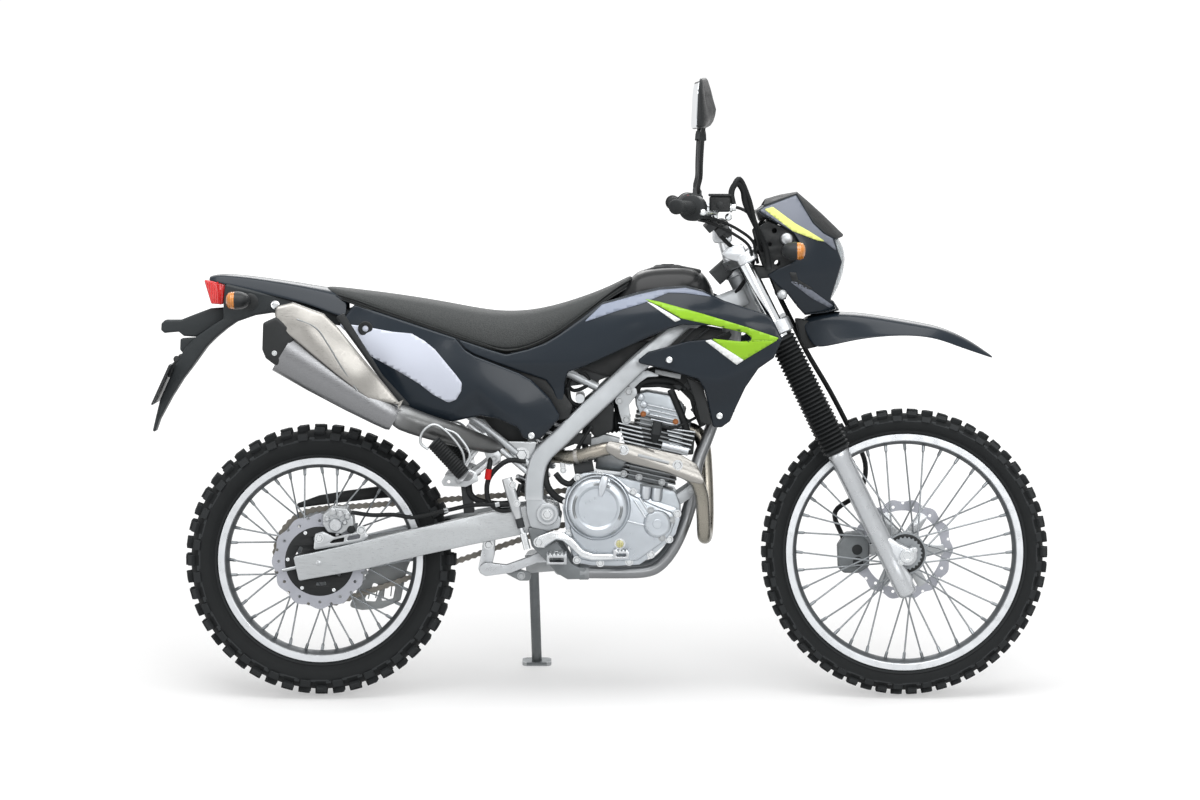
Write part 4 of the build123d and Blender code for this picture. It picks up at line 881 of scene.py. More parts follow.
def subframe_pieces(body):
    for side, tag in SIDES:
        upper = across(side, [(654, 68.9, 732), (560, 72, 775), (450, 74, 797), (330, 76, 816), (200, 76, 847),
                              (66, 76, 880)])
        lower = across(side, [(500, 106, 548), (440, 102, 600), (366, 96, 656), (220, 86, 754), (84, 76, 856)])
        tube("rail_upper_" + tag, upper, 10.5, body, "frame", stands_for=on_right(side, "subframe"))
        tube("rail_lower_" + tag, lower, 8.5, body, "frame")
        tube("rail_brace_" + tag, across(side, [(490, 103, 534), (430, 103, 585), (350, 98, 646)]), 7, body, "frame",
             False)
        plate = [(430, 606), (512, 606), (506, 578), (492, 560), (474, 548)]
        cut("gusset_" + tag, [rounded(plate, 6), circle(444, 598, 3, 12)], side * 98, side * 105, body, "forged", 1)
        bolts("gusset_bolt_" + tag, across(side, [(477, 105, 575, 13)]), body, "bright", side)
        hanger = [(374, 622), (392, 628), (428, 576), (428, 560), (412, 548), (398, 556)]
        cut("hanger_tab_" + tag, [rounded(hanger, 5), circle(392, 602, 4, 14)], side * 105, side * 113, body,
            "forged", 1.2)
        foot = [(288, 512), (298, 527), (352, 543), (372, 534), (376, 514), (346, 500), (294, 502)]
        cut("hanger_foot_" + tag, [rounded(foot, 6), circle(306, 512, 4, 14)], side * 112, side * 120, body, "forged",
            1.2)
        strut("hanger_arm_" + tag, across(side, [(410, 109, 566), (380, 111, 540), (350, 114, 520)]), (13, 9), body,
              "forged", 2.5)
        strut("hanger_arm_b_" + tag, across(side, [(384, 108, 600), (352, 111, 560), (340, 114, 536)]), (9, 8), body,
              "forged", 2.5)
        bolts("hanger_fixings_" + tag, across(side, [(330, 120, 516, 8), (404, 113, 590, 6), (412, 113, 566, 6)]),
              body, "steel", side)
        peg = [(0, 0)] + [(18.5 - 2.2 * (k % 2), 1 + 3.4 * k) for k in range(31)] + [(0, 106)]
        lathe("passenger_peg_" + tag, peg, (344, side * 214, 535), (-66, side * 4, 72), body, "boot", 32, smooth=45,
              stands_for=on_right(side, "footpegs"))
        strut("peg_root_" + tag, across(side, [(352, 150, 528), (346, 190, 532), (342, 214, 535)]),
              [(18, 20), (24, 18), (30, 18)], body, "forged", 4)
        strut("peg_stem_" + tag, across(side, [(356, 116, 528), (352, 160, 529)]), (16, 16), body, "forged", 4)
        wire = across(side, [(346, 206, 552), (340, 212, 590), (308, 216, 632), (276, 220, 652), (250, 222, 636),
                             (244, 222, 610), (262, 220, 594)])
        tube("peg_wire_" + tag, wire, 3.2, body, "forged")
        wire = across(side, [(346, 210, 556), (358, 210, 584), (330, 206, 626), (300, 200, 640)])
        tube("peg_wire_b_" + tag, wire, 3.2, body, "forged")
        teeth = [(537, 326), (583, 326), (583, 346)]
        teeth += [p for k in range(5) for p in ((581 - 9 * k, 352), (576.5 - 9 * k, 346))] + [(537, 352)]
        cut("peg_frame_" + tag, [teeth, rounded([(543, 331), (577, 331), (577, 341), (543, 341)], 3)],
            side * 140, side * 216, body, "forged", 1.2)
        strut("peg_arm_" + tag, across(side, [(560, 118, 338), (560, 142, 338)]), (24, 30), body, "casting", 5)
    tube("rear_tie", [(72.4, -74, 880), (72.4, 74, 880)], 11, body, "frame")


CLUTCH_AT = (655, 452)
ARC_RADIUS = 56


def clutch_side(body):
    case = [(592, 470), (600, 520), (640, 533), (700, 524), (770, 506), (838, 488), (850, 455), (850, 422),
            (834, 384), (795, 350), (753, 318), (604, 318), (592, 340), (584, 400)]
    slab("crankcase_body", case, 12, -91, 91, body, "case", 5, stands_for=["crankcase"],
         warp=lambda x, y, z: (x, min(y, 48) if x < 656 else y, z))
    cover = [(600, 524), (623, 532), (662, 534), (690, 528), (700, 520), (736, 492), (760, 478), (803, 462),
             (839, 450), (848, 422), (838, 388), (813, 363), (782, 336), (753, 316), (700, 313), (640, 314),
             (606, 320), (590, 352), (580, 399), (572, 452), (584, 500)]
    slab("clutch_flange", cover, 9, -101, -91.5, body, "cover", 1.5, stands_for=["engine_covers"])
    inner = [(606, 514), (640, 524), (690, 518), (734, 482), (800, 452), (832, 440), (838, 420), (826, 388),
             (804, 366), (748, 326), (640, 324), (612, 330), (600, 356), (590, 400), (584, 452), (592, 494)]
    slab("clutch_body", inner, 14, -113, -100, body, "cover", 6)
    lathe("clutch_dome", [(79, 0), (78, 10), (75, 14), (72.5, 15), (72.5, 20), (70, 26), (66, 31), (60, 34),
                          (52, 34.6), (47, 32), (45, 30), (20, 30.4), (0, 30.6)], (CLUTCH_AT[0], -104, CLUTCH_AT[1]),
          (0, -1, 0), body, "cover", 72, smooth=28)
    for name, start, end in (("arc_front", -30, 4), ("arc_rear", 150, 206), ("arc_top", 58, 100)):
        line = [(CLUTCH_AT[0] + ARC_RADIUS * math.cos(math.radians(a)), -138.2,
                 CLUTCH_AT[1] + ARC_RADIUS * math.sin(math.radians(a))) for a in np.linspace(start, end, 10)]
        tube("clutch_" + name, line, 3.4, body, "casting", False)
    strut("clutch_nose", [(672, -132, 524), (666, -138, 500), (662, -138, 480)], [(18, 20), (20, 16), (8, 6)], body,
          "cover", 5)
    lathe("filler_cap", [(0, 8), (9, 8), (11, 6), (12, 0), (12, -8), (0, -8)], (674, -126, 512), (0.15, -1, 0.3),
          body, "cover", 24)
    lathe("filter_cover", [(0, 12), (10, 12), (11.5, 11), (26, 11), (30, 8), (31, 4), (33, 2), (33, -14), (0, -14)],
          (795, -112, 413), (0, -1, 0), body, "cover", 48, smooth=30)
    bolts("filter_bolts", [(780, -117, 445, 6.5), (829, -112, 422, 6.5), (806, -114, 380, 6.5)], body, "steel")
    bolts("cover_bolts", [(606, -103, 327, 7), (661, -103, 320, 7), (729, -103, 323, 7), (780, -103, 340, 7),
                          (823, -103, 376, 7), (842, -103, 436, 7), (738, -103, 487, 7), (660, -103, 528, 7),
                          (608, -103, 521, 7), (578, -103, 465, 7), (586, -103, 390, 7)], body, "bright")
    lathe("sight_glass", [(0, 1), (9.5, 1), (10, 0), (13, 0), (13, -6), (0, -6)], (707, -114, 366), (0, -1, 0), body,
          "bright", 28)
    lathe("sight_window", [(0, 2.6), (6, 2.4), (9, 1.2), (9, 0), (0, 0)], (707, -114, 366), (0, -1, 0), body,
          "glass_gauge", 24)
    for k, (start, end) in enumerate((((740, -112, 470), (768, -114, 428)), ((752, -112, 476), (774, -112, 442)),
                                      ((724, -112, 420), (764, -114, 410)))):
        strut(f"cover_rib_{k}", [start, end], (5, 8), body, "cover", 2)


def ignition_side(body):
    lathe("ignition_cover", [(0, 32), (40, 32), (52, 28), (62, 20), (66, 8), (67, -2), (67, -12), (0, -12)],
          (762, 104, 420), (0, 1, 0), body, "cover", 64, smooth=30)
    ignition = [(672, 350), (700, 340), (800, 345), (836, 400), (824, 480), (700, 508), (668, 480)]
    slab("ignition_flange", ignition, 14, 91.5, 108, body, "cover", 4)
    drive = [(578, 480), (590, 500), (668, 500), (668, 395), (590, 390), (578, 410)]
    slab("sprocket_cover", drive, 12, 92, 104, body, "plastic", 4)
    bolts("ignition_bolts", [(700, 108, 352, 6), (806, 108, 360, 6), (826, 108, 470, 6), (700, 108, 494, 6),
                             (592, 104, 404, 5), (592, 104, 486, 5)], body, "bright", LEFT)


def cylinder_fittings(body):
    starter = [(0, 0), (26, 0), (28, 2), (28, 66), (26, 70), (12, 71), (12, 76), (0, 76)]
    lathe("starter_motor", starter, (722, -34, 556), (-1, 0, 0.12), body, "casting", 40)
    tube("breather_hose", [(640, -60, 560), (624, -72, 600), (632, -74, 650), (650, -66, 690)], 8, body, "hose")
    tube("oil_line", [(612, -86, 540), (606, -92, 580), (622, -92, 612), (640, -88, 640)], 5, body, "hose")
    slab("throttle_body", [(618, 640), (690, 655), (694, 700), (640, 716), (612, 690)], 10, -34, 34, body, "casting",
         5)
    lathe("intake_boot", [(27, 0), (30, 3), (27, 8), (30, 13), (27, 18), (30, 23), (27, 30), (25, 30)], (694, 0, 676),
          (1, 0, 0.1), body, "hose", 36)
    bolts("base_nuts", [(716, -70, 528, 6), (752, -70, 520, 6), (806, -70, 508, 6)], body, "steel")
    bolts("head_nuts", [(762, -72, 669, 5), (838, -74, 651, 5)], body, "copper")
    head = [(742, 716), (772, 722), (830, 712), (856, 690), (862, 650), (846, 640), (808, 652), (754, 666),
            (744, 690)]
    slab("head_cover", head, 8, -62, 60, body, "case", 5)
    for k in range(5):
        x, z = 772 + 2.6 * k, 691 - 11.5 * k
        strut(f"head_rib_{k}", [(x, -64, z), (x + 66, -64, z - 15)], (4.5, 14), body, "cover", 2)
    for k in range(3):
        lathe(f"rocker_cap_{k}", [(0, 5), (5, 5), (8, 3), (9, 0), (9, -4), (0, -4)], (756 + 7 * k, -62, 708 - 17 * k),
              (0, -1, 0), body, "cover", 24)
    for k in range(7):
        left, right = 703 + 2 * k, 758 + 2 * k
        z = 644 - 10.2 * k
        strut(f"fin_left_{k}", [(left, -70, z + 4), (right, -70, z - 9)], (3.4, 16), body, "case", 1)
        if k < 5:
            strut(f"fin_right_{k}", [(816 + 2 * k, -70, z - 4 if k else z - 8), (884 - 3 * k, -66, z - 18)],
                  (3.4, 16), body, "case", 1)
    strut("plug_cap", [(796, -74, 650), (792, -78, 622), (788, -70, 604)], [(22, 20), (24, 22), (14, 14)], body,
          "boot", 6)
    tube("plug_lead", [(800, -76, 640), (830, -78, 636), (866, -70, 650), (902, -50, 668)], 3.5, body, "hose")
    strut("head_boss", [(806, -62, 594), (868, -62, 580)], (20, 30), body, "cover", 6)
    tube("breather_a", [(826, -60, 726), (842, -64, 690), (858, -66, 650), (866, -64, 622)], 8.5, body, "hose")
    tube("breather_b", [(742, -52, 706), (752, -54, 736), (784, -52, 748), (830, -48, 744), (862, -44, 728)], 9, body,
         "hose")
    tube("breather_c", [(880, -62, 742), (892, -60, 706), (888, -56, 676), (902, -50, 640)], 8, body, "hose")


def engine_back(body):
    """Dark trays, wires and brackets that close the view between the engine and the tank."""
    core = [(707, 652), (760, 640), (884, 622), (880, 572), (800, 570), (720, 592), (712, 620)]
    slab("fin_core", core, 5, -58, 58, body, "black_metal", 2)
    tray = [(772, 772), (800, 778), (862, 766), (908, 748), (908, 722), (850, 736), (800, 744)]
    slab("upper_tray", tray, 5, -52, 52, body, "plastic", 3)
    strut("tray_bracket", [(790, -56, 768), (850, -58, 756)], (12, 6), body, "casting", 2)
    loom = [(742, 728), (760, 744), (820, 752), (880, 742), (908, 700), (912, 650), (896, 640), (880, 668),
            (872, 700), (850, 722), (800, 730)]
    slab("wiring_tray", loom, 8, -40, 40, body, "plastic", 3)
    for k, (x, z) in enumerate(((876, 726), (886, 704), (878, 682), (862, 740), (838, 738))):
        strut(f"connector_{k}", [(x, -46, z), (x + 12, -48, z - 12)], (14, 16), body, "plastic", 3)
    for side, tag in SIDES:
        gusset = [(744, 766), (772, 772), (806, 758), (772, 756), (754, 744), (736, 726), (724, 740)]
        slab("head_gusset_" + tag, gusset, 4, side * 78, side * 84, body, "frame", 1)
    slab("cylinder_block_step", [(752, 508), (810, 500), (808, 466), (756, 474)], 5, -92, -66, body, "casting", 4)
    for k in range(2):
        lathe(f"tensioner_{k}", [(0, 0), (12, 0), (13, 2), (13, 30), (0, 30)], (766 + 26 * k, -96, 470 - 4 * k),
              (0.1, 0, 1), body, "cover", 32)


def behind_spar(body):
    """Throttle, cables and hoses seen under the spar."""
    slab("throttle_cover", [(624, 690), (668, 706), (694, 690), (690, 630), (650, 612), (628, 640)], 12, -84, -60,
         body, "plastic", 4)
    tube("throttle_cable", [(580, -66, 742), (600, -72, 724), (634, -74, 740), (622, -72, 764), (592, -70, 752),
                            (582, -66, 716), (600, -66, 676)], 4.5, body, "hose")
    tube("vacuum_hose", [(584, -70, 730), (590, -74, 700), (612, -76, 690), (640, -74, 712), (668, -70, 706)], 6,
         body, "hose")
    lathe("bellows", [(0, 0)] + [(26 - 4 * (k % 2), 1 + 5 * k) for k in range(7)] + [(0, 34)], (676, -40, 646),
          (1, 0, 0.1), body, "boot", 36)
    strut("relay_box", [(568, -78, 600), (600, -80, 612), (640, -80, 610)], (26, 30), body, "plastic", 4)
    strut("relay_box_c", [(636, -66, 598), (668, -66, 606), (704, -62, 600)], [(26, 24), (36, 26), (26, 24)], body,
          "casting", 6)
    strut("relay_box_b", [(600, -84, 540), (644, -86, 548)], (26, 26), body, "plastic", 4)
    tube("coolant_hose", [(540, -104, 566), (532, -108, 536), (538, -110, 500), (560, -104, 474), (586, -100, 462)],
         8, body, "hose")
    tube("oil_hose", [(556, -96, 530), (572, -100, 512), (590, -98, 506), (606, -96, 520)], 7, body, "hose")
    strut("pipe_clamp", [(572, -92, 560), (574, -92, 536)], (12, 12), body, "forged", 3)
    bolts("clamp_bolt", [(574, -98, 538, 6)], body, "bright")


def header_pieces(body):
    first = [(862, 0, 633), (888, 0, 622), (905, -2, 590), (911, -8, 520), (913, -22, 440), (911, -48, 392),
             (907, -84, 380), (904, -112, 394), (902, -126, 440), (896, -132, 490), (872, -137, 528),
             (800, -141, 556), (700, -144, 590), (650, -134, 584), (600, -108, 570), (549, -76, 570), (480, -72, 575),
             (432, -90, 588)]
    tube("header_pipe", first, 16, body, "header", stands_for=["exhaust_header"], sides=10)
    tube("header_collar", [(858, 0, 634), (872, 0, 631)], 21, body, "casting", False)
    shield = [(673, 601), (683, 611), (750, 599), (852, 576), (886, 556), (905, 518), (899, 508), (869, 515),
              (819, 537), (736, 557), (703, 567), (676, 585)]
    axis_a, axis_b = Vector((920, -133, 509.4)), Vector((660, -147.3, 604.8))

    def bulge(points):
        """Round over the header pipe."""
        along = Vector((axis_b.x - axis_a.x, axis_b.z - axis_a.z))
        length = along.length
        out = []
        for x, z in points:
            t = ((x - axis_a.x) * along.x + (z - axis_a.z) * along.y) / length ** 2
            off = abs((x - axis_a.x) * along.y - (z - axis_a.z) * along.x) / length
            out.append(-(axis_a.y + (axis_b.y - axis_a.y) * t) + math.sqrt(max(30 ** 2 - min(off, 27) ** 2, 40)) - 5)
        return np.array(out)

    panel("heat_shield", rounded(shield, 8), bulge, body, "shield", thick=2, edge=3, grid=6,
          stands_for=["exhaust_shields"])
    bolts("shield_bolts", [(716, -167, 590, 9), (842, -160, 554, 9)], body, "bright")
    strut("shield_slot", [(750, -168.6, 578), (822, -165.6, 560)], (7, 4), body, "casting", 1.8)
    lathe("header_band", ring_profile([(16.2, -5), (18.2, -5), (18.6, 0), (18.2, 5), (16.2, 5)]), (608, -112, 572),
          (0.93, -0.36, 0.2), body, "shield", 36)
    mid = [Vector(p) for p in ((436, -88, 587), (382, -122, 603), (330, -150, 622), (270, -170, 640),
                               (227, -176, 655), (176, -176, 676))]
    rings = []
    for p, before, after, radius in zip(mid, mid[:1] + mid, mid[1:] + mid[-1:], (17, 21, 26, 28, 29, 33)):
        ahead = (after - before).normalized()
        up = ACROSS.cross(ahead).normalized()
        side = ahead.cross(up)
        rings.append([p + up * radius * math.cos(a) + side * radius * math.sin(a) for a in ring_angles(32)])
    loft("mid_pipe", rings, body, "mid", smooth=60, subdivide=1)


def muffler_pieces(body):
    start, end = Vector((178, -176, 668)), Vector((-74, -176, 824))
    line = (end - start).normalized()
    up = ACROSS.cross(line)
    rings = []
    for t, grow in ((-0.03, 0.55), (0.0, 0.62), (0.1, 0.69), (0.35, 0.82), (0.7, 0.95), (1.0, 1.0)):
        centre = start + (end - start) * t
        rings.append([centre + ACROSS * 45 * grow * math.cos(a) + up * 56 * grow * math.sin(a)
                      for a in ring_angles(48)])
    loft("muffler_can", rings, body, "can", stands_for=["muffler"], smooth=60)
    cap = [(-122, 888), (-90, 902), (-60, 880), (-48, 850), (-90, 786), (-116, 806), (-124, 826)]
    slab("muffler_cap", cap, 9, -218, -134, body, "plastic", 9)
    cover = [(-92, 926), (-53, 935), (18, 909), (52, 877), (125, 787), (199, 697), (186, 697), (121, 711), (-55, 853),
             (-83, 875), (-95, 907)]
    ridge = Surface([(-103, 919, 208), (-62, 931, 200), (-7, 915, 204), (40, 886, 206), (144, 756, 206),
                     (194, 684, 206), (100, 711, 214), (-46, 829, 218), (-93, 866, 218), (-20, 880, 222),
                     (40, 820, 226), (100, 755, 222), (0, 850, 225)])
    panel("muffler_cover", rounded(cover, 10), ridge, body, "shield", edge=7, grid=9)
    # Painted shade: a thin dark line along the fold of the cover.
    crease = [(-43, 897), (2, 876), (30, 838), (60, 788), (98, 730)]
    tube("cover_crease_shade", [(x, -ridge([(x, z)])[0] - 0.4, z) for x, z in crease], 1.6, body, "casting")
    bolts("cap_bolt", [(-95, -218, 818, 4.5)], body, "bright")
    strip = [(44, 900), (62, 908), (152, 764), (218, 692), (196, 688), (128, 780)]
    slab("cover_shadow", strip, 4, -150, -128, body, "plastic", 2)


for pieces in (frame_pieces, subframe_pieces, clutch_side, ignition_side, cylinder_fittings, engine_back, behind_spar,
               header_pieces, muffler_pieces):
    pieces("chassis")


# ---------------------------------------------------------------- rear running gear
def arm_side(x):
    """Distance of the arm's inner face from the middle plane."""
    return float(np.interp(x, [-70, 60, 250, 400, 570], [88, 88, 78, 62, 58]))


ARM_HALF = 12.5  # half the thickness of one arm of the swingarm


def arm_pieces(body):
    upper = [(-59, 336), (0, 348), (100, 371), (210, 398), (330, 425), (430, 446), (505, 456), (540, 456)]
    lower = [(548, 406), (470, 385), (350, 361), (240, 338), (100, 305), (-20, 284), (-46, 279)]
    outline = rounded(upper + [(562, 450), (566, 432)] + lower, 6)
    for side, tag in SIDES:
        def warp(x, y, z):
            return x, side * (arm_side(x) + (y + ARM_HALF) * (1 if x < 300 else 1.05) + ARM_HALF), z

        cut("arm_" + tag, [outline], -ARM_HALF, ARM_HALF, body, "arm", 2.5, warp=warp,
            slices=(60, 160, 250, 330, 400, 480, 540), stands_for=on_right(side, "swingarm"))
        plate = [(-50, 337), (26, 351), (28, 302), (-42, 290)]
        slab("axle_plate_" + tag, plate, 8, side * 113, side * 118.5, body, "slider", 1.2)
        lathe("axle_nut_" + tag, [(0, 9), (5, 9), (6.5, 8), (7, 3), (10.5, 2.5), (11, 0), (0, 0)],
              (0, side * 118, 321), (0, side, 0), body, "steel", 6 if side == LEFT else 32)
        tube("adjuster_" + tag, across(side, [(-40, 101, 312), (-86, 101, 302)]), 4, body, "steel", False)
    strut("arm_brace", [(452, -66, 420), (452, 66, 420)], (40, 96), body, "arm", 8)
    tube("arm_pivot_tube", [(537, -96, 436), (537, 96, 436)], 17, body, "casting")
    slab("link_lug", [(384, 340), (384, 380), (402, 408), (440, 412), (440, 396), (412, 372), (410, 340)], 8, -22, 22,
         body, "casting", 2)


COIL_STEPS = 90
COIL_RADIUS = 31


def linkage_pieces(body):
    for side, tag in SIDES:
        rocker = [(372, 300), (380, 286), (400, 288), (410, 330), (412, 372), (400, 382), (386, 380), (380, 340)]
        slab("rocker_" + tag, rocker, 8, side * 23, side * 33, body, "slider", 2,
             stands_for=on_right(side, "shock_absorber"))
        bolts("link_bolts_" + tag, across(side, [(397, 33, 358, 9), (388, 33, 302, 9)]), body, "bright", side)
    slab("pull_rod", [(376, 292), (390, 284), (450, 292), (512, 316), (545, 318), (550, 334), (520, 344), (490, 330),
                      (440, 312), (388, 318), (376, 308)], 7, -52, -36, body, "slider", 3)
    slab("pull_plate", [(420, 298), (470, 300), (500, 290), (494, 272), (470, 272)], 8, -34, -22, body, "casting", 2)
    bolts("pull_bolt", [(474, -34, 284, 7)], body, "steel")
    axis_a, axis_b = Vector((482, 0, 482)), Vector((586, 0, 672))
    along = axis_b - axis_a
    unit = along.normalized()
    u = unit.orthogonal().normalized()
    v = unit.cross(u)
    coil = []
    for k in range(COIL_STEPS + 1):
        turn = 2 * math.pi * k / 12
        centre = axis_a + along * (0.06 + 0.86 * k / COIL_STEPS)
        coil.append(centre + (u * math.cos(turn) + v * math.sin(turn)) * COIL_RADIUS)
    tube("shock_spring", coil, 5.6, body, "slider")
    lathe("shock_body", [(0, -4), (16, -4), (16, 12), (34, 14), (34, 18), (20, 20), (20, 110), (24, 112), (24, 200),
                         (35, 202), (35, 208), (16, 212), (16, 226), (0, 226)], axis_a, unit, body, "black_metal", 40)


def rear_hoses(body):
    hose = [(474, -112, 506), (464, -118, 476), (450, -120, 462), (426, -120, 459), (360, -121, 457),
            (306, -122, 446), (252, -124, 434), (217, -124, 429), (176, -124, 435), (127, -122, 434), (78, -104, 439)]
    tube("rear_brake_hose", hose, 5, body, "hose")
    strut("mud_flap", [(344, -50, 512), (352, -50, 436)], (24, 70), body, "plastic", 3)
    tube("breather_tube", [(352, -84, 512), (354, -84, 484), (374, -86, 466), (420, -92, 458), (470, -100, 462)], 7.5,
         body, "hose")
    for k, (x, z) in enumerate(((420, 459), (300, 445), (217, 429))):
        strut(f"hose_band_{k}", [(x - 5, -121, z - 1), (x + 5, -121, z + 1)], (12, 12), body, "steel", 4)
    tube("reservoir_hose", [(486, -112, 560), (440, -120, 560), (400, -116, 520), (398, -112, 470), (424, -112, 446),
                            (452, -112, 446)], 6, body, "hose")


def chain_guards(body):
    guard = [(-64, 446), (-10, 466), (60, 478), (150, 490), (176, 486), (176, 462), (120, 458), (0, 444), (-60, 436)]
    slab("chain_guard_top", guard, 5, 78, 92, body, "plastic", 2, stands_for=["chain_guard"])
    guide = [(60, 200), (96, 266), (120, 312), (160, 322), (206, 330), (212, 320), (200, 292), (184, 215), (140, 196),
             (92, 192)]
    guide_holes = [rounded([(96, 214), (120, 258), (138, 250), (124, 212)], 5),
                   rounded([(136, 212), (150, 250), (172, 250), (166, 220)], 5)]
    cut("chain_guide", [rounded(guide, 9)] + guide_holes, 76, 90, body, "clear_guide", 2)
    for k in range(7):
        strut(f"guide_rib_{k}", [(70 + 18 * k, 91, 214 + 2 * k), (92 + 15 * k, 91, 262 + 7 * k)], (3, 3), body,
              "clear_guide", 1)


def rear_brake(body):
    bracket = [(-13, 350), (-9, 388), (10, 394), (37, 381), (106, 398), (118, 382), (104, 371), (30, 357)]
    cut("rear_caliper_bracket", [rounded(bracket, 6), rounded([(24, 366), (34, 374), (60, 380), (58, 370)], 2),
                                 rounded([(66, 373), (70, 382), (98, 388), (96, 378)], 2)], -102, -92, body, "forged",
        2, stands_for=["rear_caliper"])
    caliper = [(9, 434), (30, 452), (68, 449), (82, 428), (84, 408), (54, 388), (22, 392), (9, 410)]
    slab("rear_caliper_body", caliper, 8, -108, -76, body, "forged", 5)
    slab("rear_caliper_inner", caliper, 8, -62, -48, body, "forged", 4)
    lathe("rear_piston_cap", [(0, 12), (13, 12), (15, 10), (16, 6), (16, 0), (0, 0)], (40, -108, 410), (0, -1, 0),
          body, "slider", 40)
    lathe("rear_slide_boot", [(0, 8), (6, 8), (9, 6), (10, 2), (10, 0), (0, 0)], (76, -102, 399), (0, -1, 0), body,
          "boot", 24)
    lumps = ((34, 440, 9, 10), (52, 436, 8, 13), (68, 430, 8, 9), (20, 424, 7, 8), (62, 416, 6, 11))
    for k, (x, z, size, high) in enumerate(lumps):
        lathe(f"rear_caliper_lump_{k}", [(0, high), (size * 0.6, high), (size, high - 3), (size, -4), (0, -4)],
              (x, -107, z), (0, -1, 0), body, "forged", 24)
    tube("rear_bleed_nipple", [(66, -100, 446), (70, -104, 458)], 3.5, body, "steel", False)
    bolts("rear_caliper_bolts", [(100, -102, 397, 8), (1, -102, 378, 8)], body, "bright")
    cut("rear_pad_pins", [circle(14, 420, 4, 12)], -112, -60, body, "steel", 1)


def front_brake(body):
    caliper = [(1226, 296), (1224, 350), (1244, 380), (1284, 384), (1300, 352), (1300, 300), (1274, 284), (1240, 284)]
    for tag, low, high in (("outer", 69, 92), ("inner", 40, 55)):
        slab("front_caliper_" + tag, caliper, 10, low, high, body, "casting", 5,
             stands_for=["front_caliper"] if tag == "outer" else ())
    # Painted shade: dark discs on the inner caliper half, where the piston bores lie in shadow.
    for tag, x, z in (("a", 1271, 340), ("b", 1273, 311)):
        cut("front_piston_shade_" + tag, [circle(x, z, 12.5, 28)], 38.4, 44, body, "plastic", 1)
    for tag, x, z in (("a", 1256, 352), ("b", 1268, 316)):
        lathe("front_piston_" + tag, [(0, 7), (11, 7), (15, 5), (15, 0), (0, 0)], (x, 90, z), ACROSS, body, "bright",
              32)
    slab("front_caliper_bridge", [(1226, 352), (1244, 380), (1262, 382), (1244, 350)], 4, 52, 72, body, "casting", 2)
    lug = [(1282, 380), (1306, 400), (1330, 420), (1346, 410), (1330, 380), (1316, 340), (1298, 330)]
    slab("caliper_lug", lug, 8, 84, 102, body, "slider", 3)
    lathe("front_axle_bar", [(0, -124), (13, -124), (13, -118), (10, -117), (10, -62), (15, -60.9), (15, 60.4),
                             (10, 62), (10, 117), (16, 118), (16, 125), (0, 125)], (1380, 0, 339), (0, 1, 0), body,
          "steel", 32)
    lathe("axle_cap", [(0, -2), (8, -2), (9, 0), (12, 0), (12.5, -4), (16, -4), (17, -6), (17, -14), (0, -14)],
          (1380, -133, 339), (0, -1, 0), body, "bright", 36)


for pieces in (arm_pieces, linkage_pieces, rear_hoses, chain_guards, rear_brake):
    pieces("chassis")
front_brake("steering")


# ---------------------------------------------------------------- foot controls
def foot_pieces(body):
    pedal = [(510, 383), (528, 390), (547, 397), (576, 394), (598, 379), (622, 352), (646, 344), (694, 344),
             (694, 331), (640, 330), (617, 337), (594, 356), (573, 374), (557, 377), (530, 358), (512, 360)]
    slab("brake_pedal", pedal, 10, -140, -127, body, "bright", 3.5, stands_for=["foot_controls"])
    pad = [(692, 354)] + [p for k in range(4) for p in ((699 + 8 * k, 356), (703 + 8 * k, 350))]
    pad += [(728, 350), (728, 334), (692, 334)]
    cut("pedal_pad", [pad, rounded([(699, 339), (722, 339), (722, 346), (699, 346)], 2)], -154, -120, body, "slider",
        1)
    bolts("pedal_bolt", [(517, -140, 372, 9)], body, "bright")
    strut("master_cylinder", [(442, -116, 520), (452, -116, 486), (462, -116, 452), (470, -116, 424)],
          [(24, 22), (26, 24), (24, 22), (16, 16)], body, "forged", 8)
    tube("master_boot", [(470, -116, 426), (476, -116, 404)], 9, body, "boot", False)
    tube("master_rod", [(474, -116, 408), (486, -116, 372)], 4.5, body, "bright", False)
    strut("master_fork", [(480, -122, 392), (490, -122, 354)], (16, 16), body, "bright", 5)
    bolts("master_bolts", [(455, -127, 505, 7), (466, -127, 462, 6)], body, "bright")
    tube("gear_shaft", [(666, 92, 330), (666, 134, 330)], 8, body, "steel", False)
    tube("gear_lever", [(666, 130, 330), (700, 138, 340), (735, 142, 342), (756, 142, 344)], 6, body, "bright")
    lathe("gear_toe", [(0, 0)] + [(9.5 - (k % 2) * 0.9, 1 + 2.4 * k) for k in range(14)] + [(0, 33)], (752, 136, 344),
          (0, 1, 0), body, "boot", 24)
    for side, tag in SIDES:
        coil = [(560 + 11 * math.cos(t), side * (124 + 0.9 * t), 338 + 11 * math.sin(t))
                for t in np.linspace(0, 14, 50)]
        tube("peg_spring_" + tag, coil, 2, body, "steel")
    tube("drain_hose", [(404, -104, 572), (402, -118, 552), (400, -121, 536)], 6, body, "hose")
    tube("drain_tip", [(400, -121, 542), (397, -121, 518)], 7.5, body, "red_plastic", False)


def stand_spring(body):
    coil = [(508 + 3.6 * math.cos(t), 150 + 0.55 * t, 296 - 0.95 * t + 3.6 * math.sin(t))
            for t in np.linspace(0, 60, 200)]
    tube("stand_spring", coil, 1.4, body, "steel")


foot_pieces("chassis")
stand_spring("side_stand")


